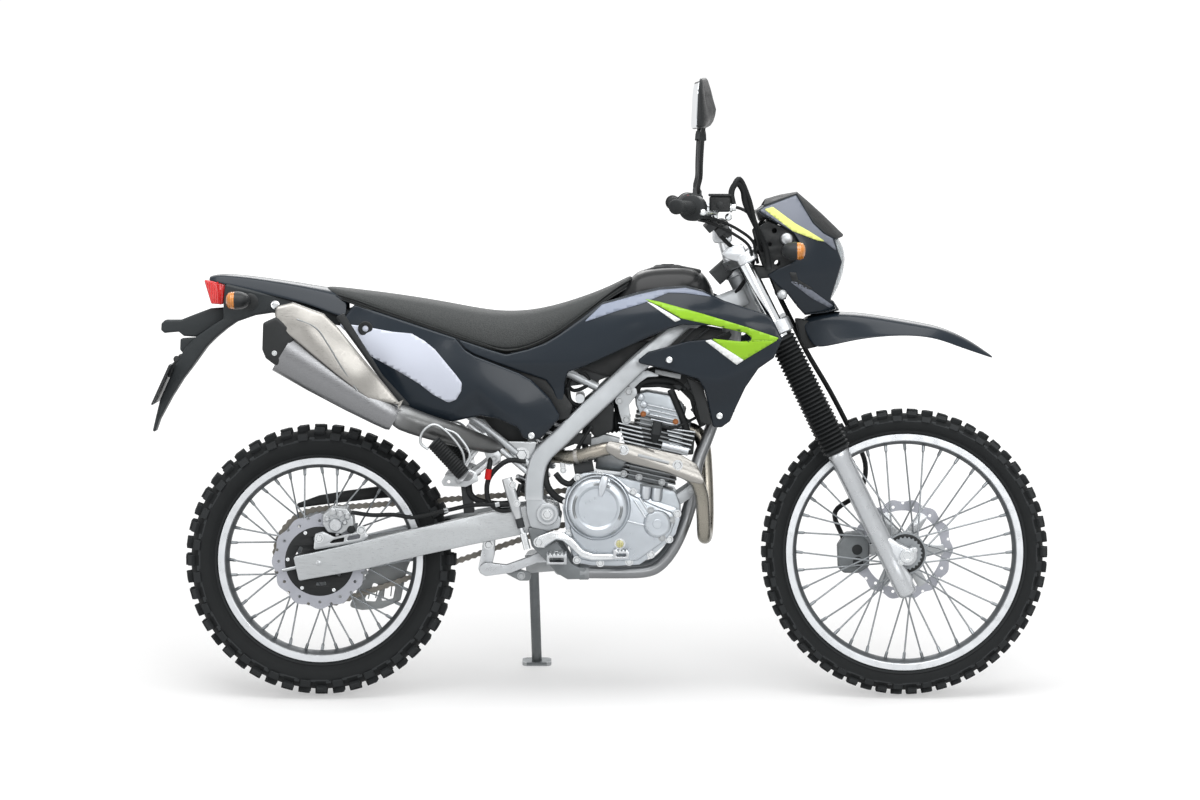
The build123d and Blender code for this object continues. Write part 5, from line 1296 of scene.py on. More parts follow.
# ---------------------------------------------------------------- bodywork
SHROUD_SIDE = [
    (320, 850), (400, 823), (441, 811), (492, 823), (533, 838), (564, 857), (592, 877), (614, 893), (665, 932),
    (750, 957), (800, 968), (860, 972), (900, 962), (950, 938), (1000, 922), (1050, 906), (1064, 893), (1085, 850),
    (1065, 805), (1030, 780), (1000, 735), (975, 680), (965, 655), (945, 640), (925, 640), (915, 690), (905, 730),
    (890, 755), (822, 775), (742, 793), (773, 818), (867, 844), (921, 849), (988, 843), (1005, 845), (1012, 853),
    (1000, 863), (921, 881), (852, 882), (822, 873), (777, 854), (623, 783), (586, 770), (578, 745), (576, 705),
    (580, 672), (572, 664), (562, 690), (549, 728), (534, 750), (472, 771), (366, 811), (345, 824),
]
SHROUD_FORM = [
    (320, 830, 128), (400, 806, 131), (480, 790, 133), (520, 760, 133), (560, 650, 122), (565, 720, 132),
    (560, 800, 136), (600, 870, 126), (620, 815, 140), (665, 928, 112), (700, 880, 140), (640, 788, 140),
    (700, 820, 146), (750, 953, 116), (760, 915, 146), (770, 870, 157), (780, 852, 154), (820, 968, 120),
    (850, 935, 152), (870, 900, 172), (860, 968, 122), (900, 960, 132), (920, 920, 166), (930, 885, 180),
    (1000, 922, 168), (1000, 890, 187), (1050, 905, 180), (1085, 850, 194), (1000, 861, 186), (760, 800, 142),
    (822, 790, 156), (867, 840, 162), (921, 840, 172), (900, 780, 168), (988, 836, 184), (1030, 790, 182),
    (1000, 740, 174), (970, 690, 162), (935, 645, 146), (915, 700, 156), (940, 740, 170),
]
COVER_SIDE = [
    (84, 928), (200, 890), (322, 850), (345, 822), (366, 809), (471, 768), (500, 752), (518, 735), (544, 708),
    (567, 668), (564, 659), (523, 615), (500, 612), (482, 615), (467, 641), (421, 661), (380, 668), (313, 653),
    (205, 683), (190, 696), (145, 757), (50, 882),
]
COVER_FORM = [
    (50, 880, 96), (90, 905, 92), (145, 760, 124), (120, 850, 118), (200, 870, 120), (200, 685, 134), (200, 780, 139),
    (280, 835, 134), (300, 655, 138), (290, 740, 144), (320, 835, 132), (360, 760, 146), (370, 660, 142),
    (400, 720, 148), (470, 760, 138), (460, 640, 143), (480, 690, 148), (528, 735, 134), (550, 670, 132),
    (505, 605, 138), (510, 660, 141),
]


def side_panels(body):
    wing_fold = [(745, 792), (871, 757), (934, 752), (971, 764), (1057, 802), (1090, 818)]
    cover_fold = [(190, 700), (313, 672), (372, 735), (490, 628), (560, 655)]
    shroud = Surface(SHROUD_FORM, folds=[(wing_fold, 0.3, 60)])
    cover = Surface(COVER_FORM, folds=[(cover_fold, 0.25, 40)])
    shroud_line, cover_line = rounded(SHROUD_SIDE, 9, 4), rounded(COVER_SIDE, 12, 4)
    for side, tag in SIDES:
        panel("shroud_" + tag, shroud_line, shroud, body, "dark", side, 3, 5, 8, stands_for=on_right(side, "shrouds"))
        panel("side_cover_" + tag, cover_line, cover, body, "dark", side, 3, 5, 8,
              stands_for=on_right(side, "side_covers"))
        on_shroud, on_cover = (shroud_line, 5), (cover_line, 5)

        def decal(name, outline, mat, surface=shroud, host=on_shroud, lift=1.3, corner=2):
            panel(f"{name}_{tag}", rounded(outline, corner, 3), surface, body, mat, side, 0.4, 0, 8, lift, host)

        # Painted highlight: a pale band along the shroud's upper edge for the reflection of the overhead lamp.
        decal("strip_painted_highlight", [(622, 886), (665, 927), (750, 951), (800, 962), (860, 967), (900, 958), (925, 946),
                              (900, 950), (860, 955), (820, 956), (760, 931), (700, 913)], "light")
        decal("stripe_upper", [(757, 943), (800, 935), (900, 908), (1000, 878), (1078, 852), (1068, 846), (1010, 843),
                               (1014, 852), (1001, 863), (921, 882), (850, 897), (800, 925)], "green")
        decal("stripe_lower", [(920, 850), (988, 844), (1005, 845), (1076, 849), (997, 801), (984, 801)], "green")
        decal("band_upper", [(765, 938), (787, 929), (850, 894), (836, 889)], "white", lift=1.7)
        decal("band_lower", [(905, 845), (919, 848), (996, 800), (979, 789)], "white", lift=1.7)
        decal("number_panel", [(40, 884), (95, 878), (175, 864), (220, 860), (250, 843), (275, 823), (300, 793),
                               (325, 763), (338, 745), (336, 726), (324, 706), (306, 699), (270, 718), (240, 742),
                               (200, 766), (150, 793), (122, 808), (78, 853)], "panel", cover, on_cover, corner=10)
        y = side * (cover([(111, 871)])[0] + 2.5)
        lathe("grommet_" + tag, [(7, 1), (8, 3), (15, 3.5), (17, 2), (17.5, -1), (7, -1)], (111, y, 871),
              (0, side, 0), body, "boot", 36)
        lathe("grommet_boss_" + tag, [(0, 2.5), (5, 2.5), (7, 1.5), (7.5, -1), (0, -1)], (111, y, 871), (0, side, 0),
              body, "panel", 28)
        for name, x, z, form in (("shroud_bolt_a", 822, 800, shroud), ("shroud_bolt_b", 940, 668, shroud),
                                 ("cover_bolt", 500, 622, cover)):
            bolts(f"{name}_{tag}", [(x, side * (form([(x, z)])[0] + 0.2), z, 8.5)], body, "bright", side, BOLT_ROUND)
        inner = [(802, 808), (835, 842), (870, 872), (905, 872), (972, 860), (960, 843), (900, 840), (850, 826)]
        slab("duct_" + tag, inner, 6, side * 112, side * 118, body, "plastic", 1)
        for k, (a, b) in enumerate((((830, 820), (880, 872)), ((862, 830), (915, 872)), ((895, 836), (965, 864)))):
            strut(f"duct_fin_{k}_{tag}", across(side, [(a[0], 122, a[1]), (b[0], 128, b[1])]), (4, 8), body,
                  "plastic", 1.5)
        slit = [(330, 838), (480, 780), (560, 742), (596, 690), (588, 660), (556, 656), (520, 712), (440, 756),
                (335, 800)]
        slab("slit_back_" + tag, slit, 5, side * 108, side * 112, body, "smooth_plastic", 1)
        box_end = [(380, 668), (430, 676), (476, 660), (492, 604), (451, 600), (408, 632)]
        slab("airbox_skirt_" + tag, box_end, 6, side * 66, side * 72, body, "plastic", 2)
        behind = [(604, 782), (652, 764), (704, 750), (800, 842), (740, 840), (690, 822), (640, 802)]
        slab("frame_cover_" + tag, behind, 6, side * 60, side * 66, body, "smooth_plastic", 2)
        radiator_box = [(862, 760), (900, 742), (914, 690), (924, 642), (896, 652), (884, 700), (872, 735)]
        slab("inner_scoop_" + tag, radiator_box, 8, side * 108, side * 130, body, "plastic", 3)


def sheet_loft(name, table, body, mat, node):
    """Fender-like channel: table rows are (x, ridge z, (shoulder y, z), (edge y, z)), mirrored about the middle."""
    rings = []
    for x, ridge, shoulder, edge in table:
        half = [(x, *edge), (x, edge[0] * 0.35 + shoulder[0] * 0.65, edge[1] * 0.35 + shoulder[1] * 0.65),
                (x, *shoulder), (x, shoulder[0] * 0.8, shoulder[1] * 0.45 + ridge * 0.55),
                (x, shoulder[0] * 0.35, ridge - 0.6)]
        rings.append([(px, -py, pz) for px, py, pz in half] + [(x, 0, ridge)] + half[::-1])
    obj = loft(name, rings, body, mat, closed=False, stands_for=[node], smooth=60)
    thicken(obj, 3, -1)
    refine(obj, 2)


FRONT_FENDER = [
    (1140, 893, (40, 886), (46, 872)), (1158, 901, (48, 889), (62, 826)), (1180, 905, (51, 893), (66, 824)),
    (1211, 909, (52, 897), (68, 830)), (1277, 906, (51, 893), (70, 846)), (1358, 893, (49, 880), (68, 854)),
    (1418, 882, (46, 872), (62, 852)), (1461, 873, (41, 865), (54, 843)), (1500, 857, (34, 849), (44, 828)),
    (1537, 838, (26, 831), (33, 815)), (1575, 811, (15, 807), (19, 803)), (1588, 802, (6, 801), (8, 799)),
]
TAIL_COWL = [
    (-262, 991, (25, 988), (32, 981)), (-240, 997, (34, 992), (44, 977)), (-190, 996, (40, 989), (52, 966)),
    (-100, 984, (50, 976), (66, 944)), (-40, 975, (56, 966), (76, 931)), (0, 968, (60, 957), (83, 917)),
    (40, 962, (64, 946), (90, 902)), (66, 955, (68, 938), (93, 895)),
]


def seat_pieces(body):
    """Seat pan, padded top and its side skirt from stations of (x, half width, top, seam z, bottom)."""
    stations = [(12, 30, 967, 958, 952), (40, 62, 966, 950, 940), (90, 86, 960, 936, 924), (150, 97, 953, 915, 902),
                (220, 106, 943, 891, 880), (300, 112, 930, 864, 853), (380, 110, 914, 837, 826),
                (440, 104, 908, 819, 808), (500, 94, 911, 832, 820), (560, 86, 924, 862, 850),
                (620, 78, 943, 905, 890), (670, 72, 962, 944, 930), (710, 66, 981, 972, 955),
                (736, 56, 995, 986, 970)]
    top_rings, skirt_rings = [], []
    for x, half, top, seam, low in stations:
        crown = top - seam
        cross = [(1.0, 0.0), (0.985, 0.30), (0.93, 0.60), (0.80, 0.84), (0.55, 0.96), (0.25, 1.0), (0.0, 1.0)]
        right = [(x, -half * a, seam + crown * b) for a, b in cross]
        under = [(x, -half * 0.9, seam - 6), (x, -half * 0.4, seam - 8)]
        ring = right + [(x, -y, z) for _, y, z in right[-2::-1]]
        top_rings.append(ring + [(x, -y, z) for _, y, z in under] + under[::-1])
        side_points = [(x, -half * 0.995, seam + 1), (x, -half * 1.0, seam - (seam - low) * 0.35),
                       (x, -half * 0.97, low + 1), (x, -half * 0.88, low)]
        skirt_rings.append(mirrored(side_points))
    top = loft("seat_pad", top_rings, body, "seat", subdivide=2, stands_for=["seat"], smooth=60)
    loft("seat_skirt", skirt_rings, body, "seat_side", subdivide=1, smooth=60)
    for side in (LEFT, RIGHT):
        line = [(x, side * half * 1.004, seam + 0.5) for x, half, top, seam, low in stations[1:]]
        tube(f"seat_piping_{side}", line, 1.5, body, "seat_side")
        line = [(x, side * half * 0.985, low + 1.5) for x, half, top, seam, low in stations[1:]]
        tube(f"seat_hem_{side}", line, 2.0, body, "smooth_plastic")


def tank_pieces(body):
    """Tank skin over its outline, seen between the shrouds."""
    stations = [(640, 40, 905, 60, 868), (690, 66, 938, 82, 850), (735, 74, 990, 95, 836), (752, 76, 1005, 102, 828),
                (790, 74, 1013, 106, 840), (850, 66, 1016, 104, 868), (890, 56, 1012, 96, 900),
                (915, 44, 985, 80, 920), (930, 30, 952, 56, 925)]
    rings = []
    for x, top_half, top, half, low in stations:
        middle = low + (top - low) * 0.5
        right = [(x, -half * 0.8, low), (x, -half, low + (middle - low) * 0.5), (x, -half, middle),
                 (x, -(half * 0.35 + top_half * 0.65), top - (top - middle) * 0.28), (x, -top_half * 0.72, top - 4),
                 (x, -top_half * 0.3, top)]
        rings.append(mirrored(right))
    loft("tank_skin", rings, body, "tank", subdivide=2, stands_for=["fuel_tank"], smooth=60)
    lathe("tank_cap", [(0, 20), (14, 20), (16, 18), (28, 18), (33, 15), (35, 10), (35, 2), (38, 0), (38, -6),
                       (0, -6)], (820, 0, 1000), (0, 0, 1), body, "smooth_plastic", 64, smooth=30)
    cover = [(752, 1002), (790, 1014), (850, 1016), (900, 1006), (896, 996), (850, 1004), (790, 1003)]
    slab("tank_ridge", cover, 5, -34, 34, body, "smooth_plastic", 3)


def rear_body(body):
    carrier = [(86, 922), (60, 912), (0, 916), (-60, 937), (-222, 975), (-226, 928), (-226, 892), (-252, 876),
               (-290, 850), (-318, 822), (-340, 784), (-360, 740), (-378, 700), (-388, 660), (-396, 626), (-390, 624),
               (-380, 652), (-352, 704), (-325, 747), (-302, 777), (-284, 802), (-268, 824), (-246, 846), (-222, 866),
               (-196, 884), (-150, 900), (-110, 906), (-60, 900), (0, 884), (60, 874)]
    slab("plate_carrier", carrier, 8, -46, 46, body, "grey_plastic", 6, stands_for=["rear_fender"],
         warp=lambda x, y, z: (x, y * float(np.interp(x, [-396, -330, -230, 60], [0.7, 0.9, 1.25, 1.5])), z),
         slices=(-360, -330, -290, -250, -226, -150, -60))
    lamp_arm = [(-214, 918), (-260, 915), (-300, 900), (-330, 888), (-366, 888), (-375, 880), (-376, 864),
                (-368, 857), (-334, 860), (-322, 850), (-292, 848), (-250, 872), (-214, 886)]
    slab("lamp_arm", lamp_arm, 6, -24, 24, body, "grey_plastic", 5)
    box = [(-330, 844), (-292, 846), (-300, 826), (-312, 806), (-326, 812), (-331, 818)]
    slab("reflector_box", box, 4, -26, 26, body, "grey_plastic", 3)
    strut("rear_reflector", [(-333, -24, 829), (-333, 24, 829)], (30, 5), body, "red_plastic", 2)
    plate = [(-347.5, 784), (-390, 691), (-393.5, 692.5), (-351, 785.5)]
    cut("number_plate", [plate], -100, 100, body, "smooth_plastic", 0.5)
    strut("plate_bracket", [(-326, 0, 802), (-344, 0, 778), (-352, 0, 752)], (16, 60), body, "plastic", 4)
    bolts("plate_nuts", [(-338, -32, 796, 6), (-334, -32, 776, 6)], body, "black_metal")
    lamp = [(-273, 984), (-229, 975), (-222, 972), (-228, 925), (-256, 927)]
    slab("tail_lens", lamp, 4, -40, 40, body, "red", 3, stands_for=["tail_light"])
    slab("tail_lens_rim", [(-243, 979), (-239, 978), (-232, 925), (-236, 925)], 1, -41.5, 41.5, body, "red_plastic",
         0.5)
    for side, tag in SIDES:
        lathe("rear_lamp_base_" + tag, [(0, 3), (10, 3), (17, 2), (20, 0), (20, -6), (0, -6)], (-163, side * 62, 932),
              (0, side, 0), body, "plastic", 36)
        stem = [(9, 0)] + [(9.6 - (k % 2) * 1.2, 3 + 3 * k) for k in range(9)] + [(9, 30), (0, 30)]
        lathe("rear_lamp_stem_" + tag, stem, (-170, side * 62, 933), (0, side, 0), body, "boot", 28)
        indicator("rear_" + tag, -182, side * 118, 937, -1, body, on_right(side, "rear_indicators"))
    lathe("fender_bolt", [(0, 3), (5, 3), (7, 1.5), (10, 1), (11, -1), (0, -1)], (-103, -66, 925), (0, -1, 0), body,
          "bright", 28)


LAMP_WIDTH = 1.45  # an indicator is this much wider than high


def indicator(name, x, y, z, way, body, stands_for):
    """Bullet-shaped body whose amber lens looks forward (way +1) or back (-1)."""
    shell = [(0, -22), (9, -21), (16, -15), (20, -5), (21.5, 8), (21.5, 12), (19, 12.5), (0, 12.5)]
    glass = [(0, 33), (12, 31.5), (18.5, 27), (20.5, 20), (20.5, 12.6), (0, 12.6)]
    for tag, profile, mat, stands in (("shell", shell, "smooth_plastic", stands_for), ("lens", glass, "amber", ())):
        obj = lathe(f"{name}_{tag}", profile, (0, 0, 0), (way, 0, 0), body, mat, 36, stands_for=stands, smooth=50)
        place = Matrix.Translation((x, y, z)) @ Matrix.Diagonal((1, LAMP_WIDTH, 1, 1))
        obj.data.transform(ROW @ place @ ROW.inverted())


side_panels("chassis")
sheet_loft("front_fender_skin", FRONT_FENDER, "steering", "dark", "front_fender")
sheet_loft("tail_cowl_skin", TAIL_COWL, "chassis", "dark", "tail_cowl")
for pieces in (seat_pieces, tank_pieces, rear_body):
    pieces("chassis")


# ---------------------------------------------------------------- front end
UP_LEG = Vector((-math.sin(RAKE), 0, math.cos(RAKE)))
BAR_CENTRE = (948.0, 1090.0)
LUG_RADIUS = 25  # round end of a slider about the front axle
BOOT_FOLDS = 30
BOOT_START, BOOT_END = 205.0, 502.0  # down the fork from the top clamp


def bar_at(t, side):
    """Point on the straight end of the bar, t in from its tip."""
    x, z = BAR_CENTRE
    tip, root = Vector((x - 113, side * 417, z + 70)), Vector((x - 43, side * 190, z + 62))
    return tip + (root - tip).normalized() * t


def fork_legs(body):
    for side, tag in SIDES:
        y = side * FORK_SPREAD
        slider = [(0, 0), (17, 0), (21, 3), (23.5, 9), (23.5, 70), (23.0, 74), (23.0, 110), (23.5, 114), (23.5, 352),
                  (25.6, 356), (26.2, 366), (26.2, 372), (24.0, 375), (0, 375)]
        lathe("slider_" + tag, slider, leg_point(880, y), UP_LEG, body, "slider", 64,
              stands_for=on_right(side, "fork_sliders"), smooth=40)
        outline = [leg_point(s, y, ahead)[::2] for s, ahead in ((738, 20), (760, 34), (782, 50))]
        outline += [(FRONT_AXLE[0] + LUG_RADIUS * math.cos(a), FRONT_AXLE[1] + LUG_RADIUS * math.sin(a))
                    for a in np.linspace(1.0, -1.9, 14)]
        outline += [leg_point(s, y, ahead)[::2] for s, ahead in ((842, 26), (868, 16), (876, -12), (738, -10))]
        cut("axle_lug_" + tag, [outline], y - 19, y + 19, body, "slider", 5)
        bolts("pinch_bolts_" + tag, [(1366, y + side * 19, 322, 5), (1398, y + side * 19, 352, 5)], body, "bright",
              side)
        lathe("leg_cap_" + tag, [(0, 0), (9, 0), (10, 1.5), (10, 6), (17, 7), (18, 9), (18, 16), (0, 16)][::-1],
              leg_point(-2, y), -UP_LEG, body, "black_metal", 40)


def clamps_and_bar(body):
    for s, thick, half in ((0, 26, 124), (180, 34, 127)):
        rings = []
        plan_line = rounded([(-46, -30), (-13, -half), (29, -half), (37, 22 - half), (11, -45), (11, 45),
                             (37, half - 22), (29, half), (-13, half), (-46, 30)], 12, 4)
        for level, shrink in ((-thick / 2, 3), (-thick / 2 + 3, 0), (thick / 2 - 3, 0), (thick / 2, 3)):
            ring = []
            for ahead, beside in plan_line:
                a = ahead - shrink * (1 if ahead > 0 else -1)
                b = beside - shrink * (1 if beside > 0 else -1)
                ring.append(leg_point(s - level, b, a))
            rings.append(ring)
        loft(f"clamp_plate_{s}", rings, body, "slider", stands_for=["triple_clamps"] if not s else (), smooth=40)
    tube("stem", [leg_point(-20, 0, -STEM_BEHIND), leg_point(190, 0, -STEM_BEHIND)], 15, body, "black_metal", False)
    lathe("stem_nut", [(16, 0), (16, 8), (14, 10), (6, 10), (6, 4), (0, 4)], leg_point(-14, 0, -STEM_BEHIND), UP_LEG,
          body, "bright", 6)
    for side in (LEFT, RIGHT):
        ear = [(944, 1046), (962, 1064), (996, 1066), (1006, 1044), (988, 1026), (958, 1034)]
        slab(f"yoke_ear_{side}", ear, 6, side * 84, side * 122, body, "slider", 3)
    strut("ignition_barrel", [(930, 0, 986), (964, 0, 1016)], (40, 60), body, "plastic", 6)
    for y in (-42, 42):
        foot = leg_point(-12, y, -28)
        tube(f"riser_{y}", [foot, (948, y, 1090)], 14, body, "slider", False)
        slab(f"riser_clamp_{y}", [(926, 1070), (926, 1110), (970, 1110), (970, 1070)], 9, y - 15, y + 15, body,
             "slider", 3)
        bolts(f"riser_bolts_{y}", [(934, y - 15, 1104, 3)], body, "black_metal")
    tube("bar_pad", [(948, -96, 1112), (948, 96, 1112)], 15, body, "boot", False)


def boots_and_hose(body):
    line = [(969, -228, 1156.4), (967, -227, 1194), (984, -220, 1222), (1006, -200, 1176), (1022, -160, 1116),
            (1045, -74, 1040), (1080, -4, 952), (1113, 34, 886), (1152, 72, 808), (1208, 104, 714), (1256, 120, 622),
            (1294, 134, 540), (1280, 138, 470), (1222, 124, 424), (1238, 66, 366.8)]
    tube("front_brake_hose", line, 6, body, "hose", stands_for=["brake_hose"])
    for side in (LEFT, RIGHT):
        pitch = (BOOT_END - BOOT_START) / BOOT_FOLDS
        profile = [(23, -2)]
        for k in range(BOOT_FOLDS):
            swell = float(np.interp(k, (0, BOOT_FOLDS - 1), (1.0, 1.06)))
            profile += [(26.5 * swell, k * pitch), (32.0 * swell, (k + 0.42) * pitch),
                        (32.0 * swell, (k + 0.6) * pitch)]
        profile += [(28, BOOT_FOLDS * pitch), (26, BOOT_END - BOOT_START + 3), (23, BOOT_END - BOOT_START + 3)]
        lathe(f"boot_{side}", profile, leg_point(BOOT_START, side * FORK_SPREAD), -UP_LEG, body, "boot", 48,
              stands_for=on_right(side, "fork_boots"), smooth=25)
    slab("fender_mount", [(1120, 892), (1152, 888), (1174, 826), (1146, 820), (1132, 838)], 5, -44, 44, body,
         "plastic", 3)


def bar_end_pieces(body):
    for side, tag in SIDES:
        inward = (bar_at(10, side) - bar_at(0, side)).normalized()
        profile = [(0, -7), (12, -7), (16, -5), (17.5, -1), (17.5, 4), (14.5, 6)]
        t = 8.0
        while t < 112:
            profile += [(15.6, t), (15.6, t + 2.6), (14.2, t + 3.4), (14.2, t + 4.6)]
            t += 5.4
        profile += [(15.5, 110), (22, 113), (29, 117), (30, 121), (27, 122.5), (0, 122.5)]
        lathe("grip_" + tag, profile, bar_at(0, side), inward, body, "boot", 40, stands_for=on_right(side, "grips"),
              smooth=30)
        housing = [(0, 0), (22, 0), (29, 3), (30, 8), (30, 30), (27, 35), (16, 37), (0, 37)]
        lathe("switch_" + tag, housing, bar_at(122.6, side), inward, body, "smooth_plastic", 40,
              stands_for=on_right(side, "controls"), smooth=40)
        centre = bar_at(141, side)
        strut("switch_box_" + tag, [tuple(centre + Vector((-8, side * 16, 4))),
                                    tuple(centre + Vector((-8, -side * 16, 4)))], (44, 34), body, "smooth_plastic", 7)
        perch = [(0, 0), (15, 0), (17.5, 2), (17.5, 22), (15, 24), (0, 24)]
        lathe("perch_" + tag, perch, bar_at(172, side), inward, body, "slider", 36, smooth=40)
        root, outer = bar_at(195, side), bar_at(40, side)
        pivot = root + Vector((34, 0, -8))
        strut("perch_arm_" + tag, [tuple(root + Vector((6, 0, -1))), tuple(root + Vector((22, 0, -5))),
                                   tuple(pivot + Vector((8, 0, 0)))], [(22, 22), (20, 22), (16, 20)], body, "slider",
              5)
        end = outer + Vector((58, 0, -14))
        mid = pivot.lerp(end, 0.35) + Vector((9, 0, 0))
        far = pivot.lerp(end, 0.7) + Vector((6, 0, 0))
        tip = outer + Vector((50, side * 28, -12))
        line = [tuple(v) for v in smooth_line([pivot, mid, far, end, tip], 5)]
        sizes = [(10 - 2 * k / len(line), 15 - 5 * k / len(line)) for k in range(len(line))]
        strut("lever_" + tag, line, sizes, body, "bright", 4, smooth=60)
        lathe("lever_ball_" + tag, [(0, -8), (5, -6.5), (8, 0), (5, 6.5), (0, 8)], tip, inward, body, "bright", 24,
              smooth=60)
        lathe("pivot_bolt_" + tag, [(0, -15), (6, -15), (7, -13), (7, 13), (6, 15), (0, 15)], pivot, (0, 0, 1), body,
              "bright", 24)
        root = bar_at(184, side)
        lathe("mirror_foot_" + tag, [(0, -14), (9, -14), (10, 0), (10, 14), (7, 18), (7, 26), (5, 30), (0, 30)],
              root + Vector((0, 0, 14)), (0, 0, 1), body, "black_metal", 6)
        stalk = [tuple(root + Vector((0, 0, 30))), tuple(root + Vector((-1, side * 6, 50))), (893, side * 252, 1226),
                 (894, side * 272, 1262), (897, side * 300, 1318), (900, side * 314, 1352)]
        tube("mirror_stalk_" + tag, stalk, 5.2, body, "black_metal")
        lathe("mirror_boot_" + tag, [(0, 0), (9, 0), (8, 14), (6.5, 22), (0, 22)], (897, side * 296, 1312),
              (0.02, side * 0.3, 1), body, "boot", 24)
        outline = rounded([(-78, -56), (76, -58), (84, 30), (70, 56), (-40, 60), (-80, 40)], 26, 6)
        rings = []

        def slim(rise):
            """Share of the depth at a height: the head grows thinner towards its top."""
            return float(np.interp(rise, (-56, 60), (0.72, 0.3)))

        for depth, scale in ((-26, 0.30), (-24, 0.52), (-19, 0.74), (-11, 0.90), (0, 0.985), (10, 1.0), (14, 0.985)):
            rings.append([(901 - depth * slim(b) - a * 0.12, side * (335 + a * scale),
                           1396 + b * scale) for a, b in outline])
        loft("mirror_shell_" + tag, rings[::-1], body, "smooth_plastic", stands_for=on_right(side, "mirrors"),
             smooth=50)
        glass, back = ([(901 - reach * slim(b) - a * 0.12, side * (335 + a * 0.94),
                         1395 + b * 0.94) for a, b in outline] for reach in (17, 12))
        loft("mirror_glass_" + tag, [list(glass), list(back)], body, "mirror", smooth=20)


def bar_fittings(body):
    strut("kill_switch", [(868, -264, 1176), (868, -280, 1178)], (15, 15), body, "red_plastic", 4)
    box = rounded([(914, 1146), (914, 1182), (962, 1182), (962, 1146)], 6)
    cut("reservoir", [box], -258, -206, body, "black_metal", 4)
    slab("reservoir_lid", [(912, 1182), (912, 1188), (964, 1188), (964, 1182)], 2, -260, -204, body, "smooth_plastic",
         1)
    lathe("sight_window", [(0, 3), (7, 3), (8.5, 2), (8.5, -1), (0, -1)], (938, -258, 1162), (0, -1, 0), body,
          "smooth_plastic", 28)
    lathe("lever_pivot_cap", [(0, 8), (5, 7), (8, 3), (8.5, 0), (8, -4), (0, -10)], (958, -240, 1134), (0, -1, 0),
          body, "bright", 28, smooth=60)
    sleeve = [(970, -228, 1160), (965, -226, 1192), (978, -220, 1212), (992, -210, 1196), (998, -198, 1166),
              (1018, -160, 1124), (1036, -126, 1088), (1050, -112, 1052), (1056, -108, 1010)]
    tube("hose_sleeve", sleeve, 7, body, "hose")
    for k, (x, y, z, wide) in enumerate(((912, -226, 1122, 30), (934, -214, 1112, 24), (950, -200, 1106, 20))):
        strut(f"bar_clamp_{k}", [(x, y, z), (x + 12, y + 6, z - 14)], (wide, 22), body, "smooth_plastic", 5)
    lathe("reservoir_spigot", [(0, 14), (9, 14), (9, 6), (12, 4), (12, 0), (0, 0)], (961, -228, 1156), (1, 0, 0.1),
          body, "bright", 20)
    tube("throttle_cable_a", [(888, -262, 1128), (918, -240, 1120), (968, -210, 1096), (1010, -150, 1062),
                              (1012, -80, 1010), (984, -46, 960), (950, -40, 930)], 3.6, body, "hose")
    tube("throttle_cable_b", [(894, -262, 1134), (930, -236, 1128), (982, -196, 1104), (1020, -140, 1070),
                              (1018, -76, 1016), (990, -44, 964), (952, -38, 926)], 3.6, body, "hose")
    tube("clutch_cable", [(940, 220, 1142), (990, 200, 1150), (1030, 150, 1120), (1036, 90, 1060), (1010, 60, 1000),
                          (968, 52, 944)], 4, body, "hose")
    tube("switch_wires", [(898, -250, 1132), (920, -200, 1116), (958, -130, 1072), (1000, -70, 1040),
                          (1020, -40, 1020)], 5, body, "hose")


MASK_FORM = [
    (1030, 1147, 97), (1122, 1186, 64), (1162, 1117, 84), (1187, 1094, 84), (1211, 1082, 64), (1114, 1097, 106),
    (1190, 1072, 86), (1100, 1150, 90), (1221, 1049, 66), (1060, 1120, 106), (1100, 1060, 110), (1165, 1040, 98),
    (1112, 1027, 110), (1052, 998, 108), (1104, 955, 98), (1142, 905, 66), (1217, 914, 36), (1204, 931, 60),
    (1160, 960, 86), (1229, 1026, 62), (1212, 965, 62), (1195, 1010, 84), (1160, 1075, 98),
]
MASK_SIDE = [
    (1030, 1147), (1043, 1157), (1122, 1186), (1162, 1117), (1187, 1094), (1211, 1082), (1221, 1049), (1229.5, 1026),
    (1214, 975), (1202, 938), (1217, 914), (1142, 904), (1130, 914), (1106, 946), (1076, 972), (1052, 997),
    (1076, 1010), (1112, 1026), (1130, 1046), (1127, 1070), (1114, 1093), (1090, 1108), (1066, 1122), (1040, 1136),
]


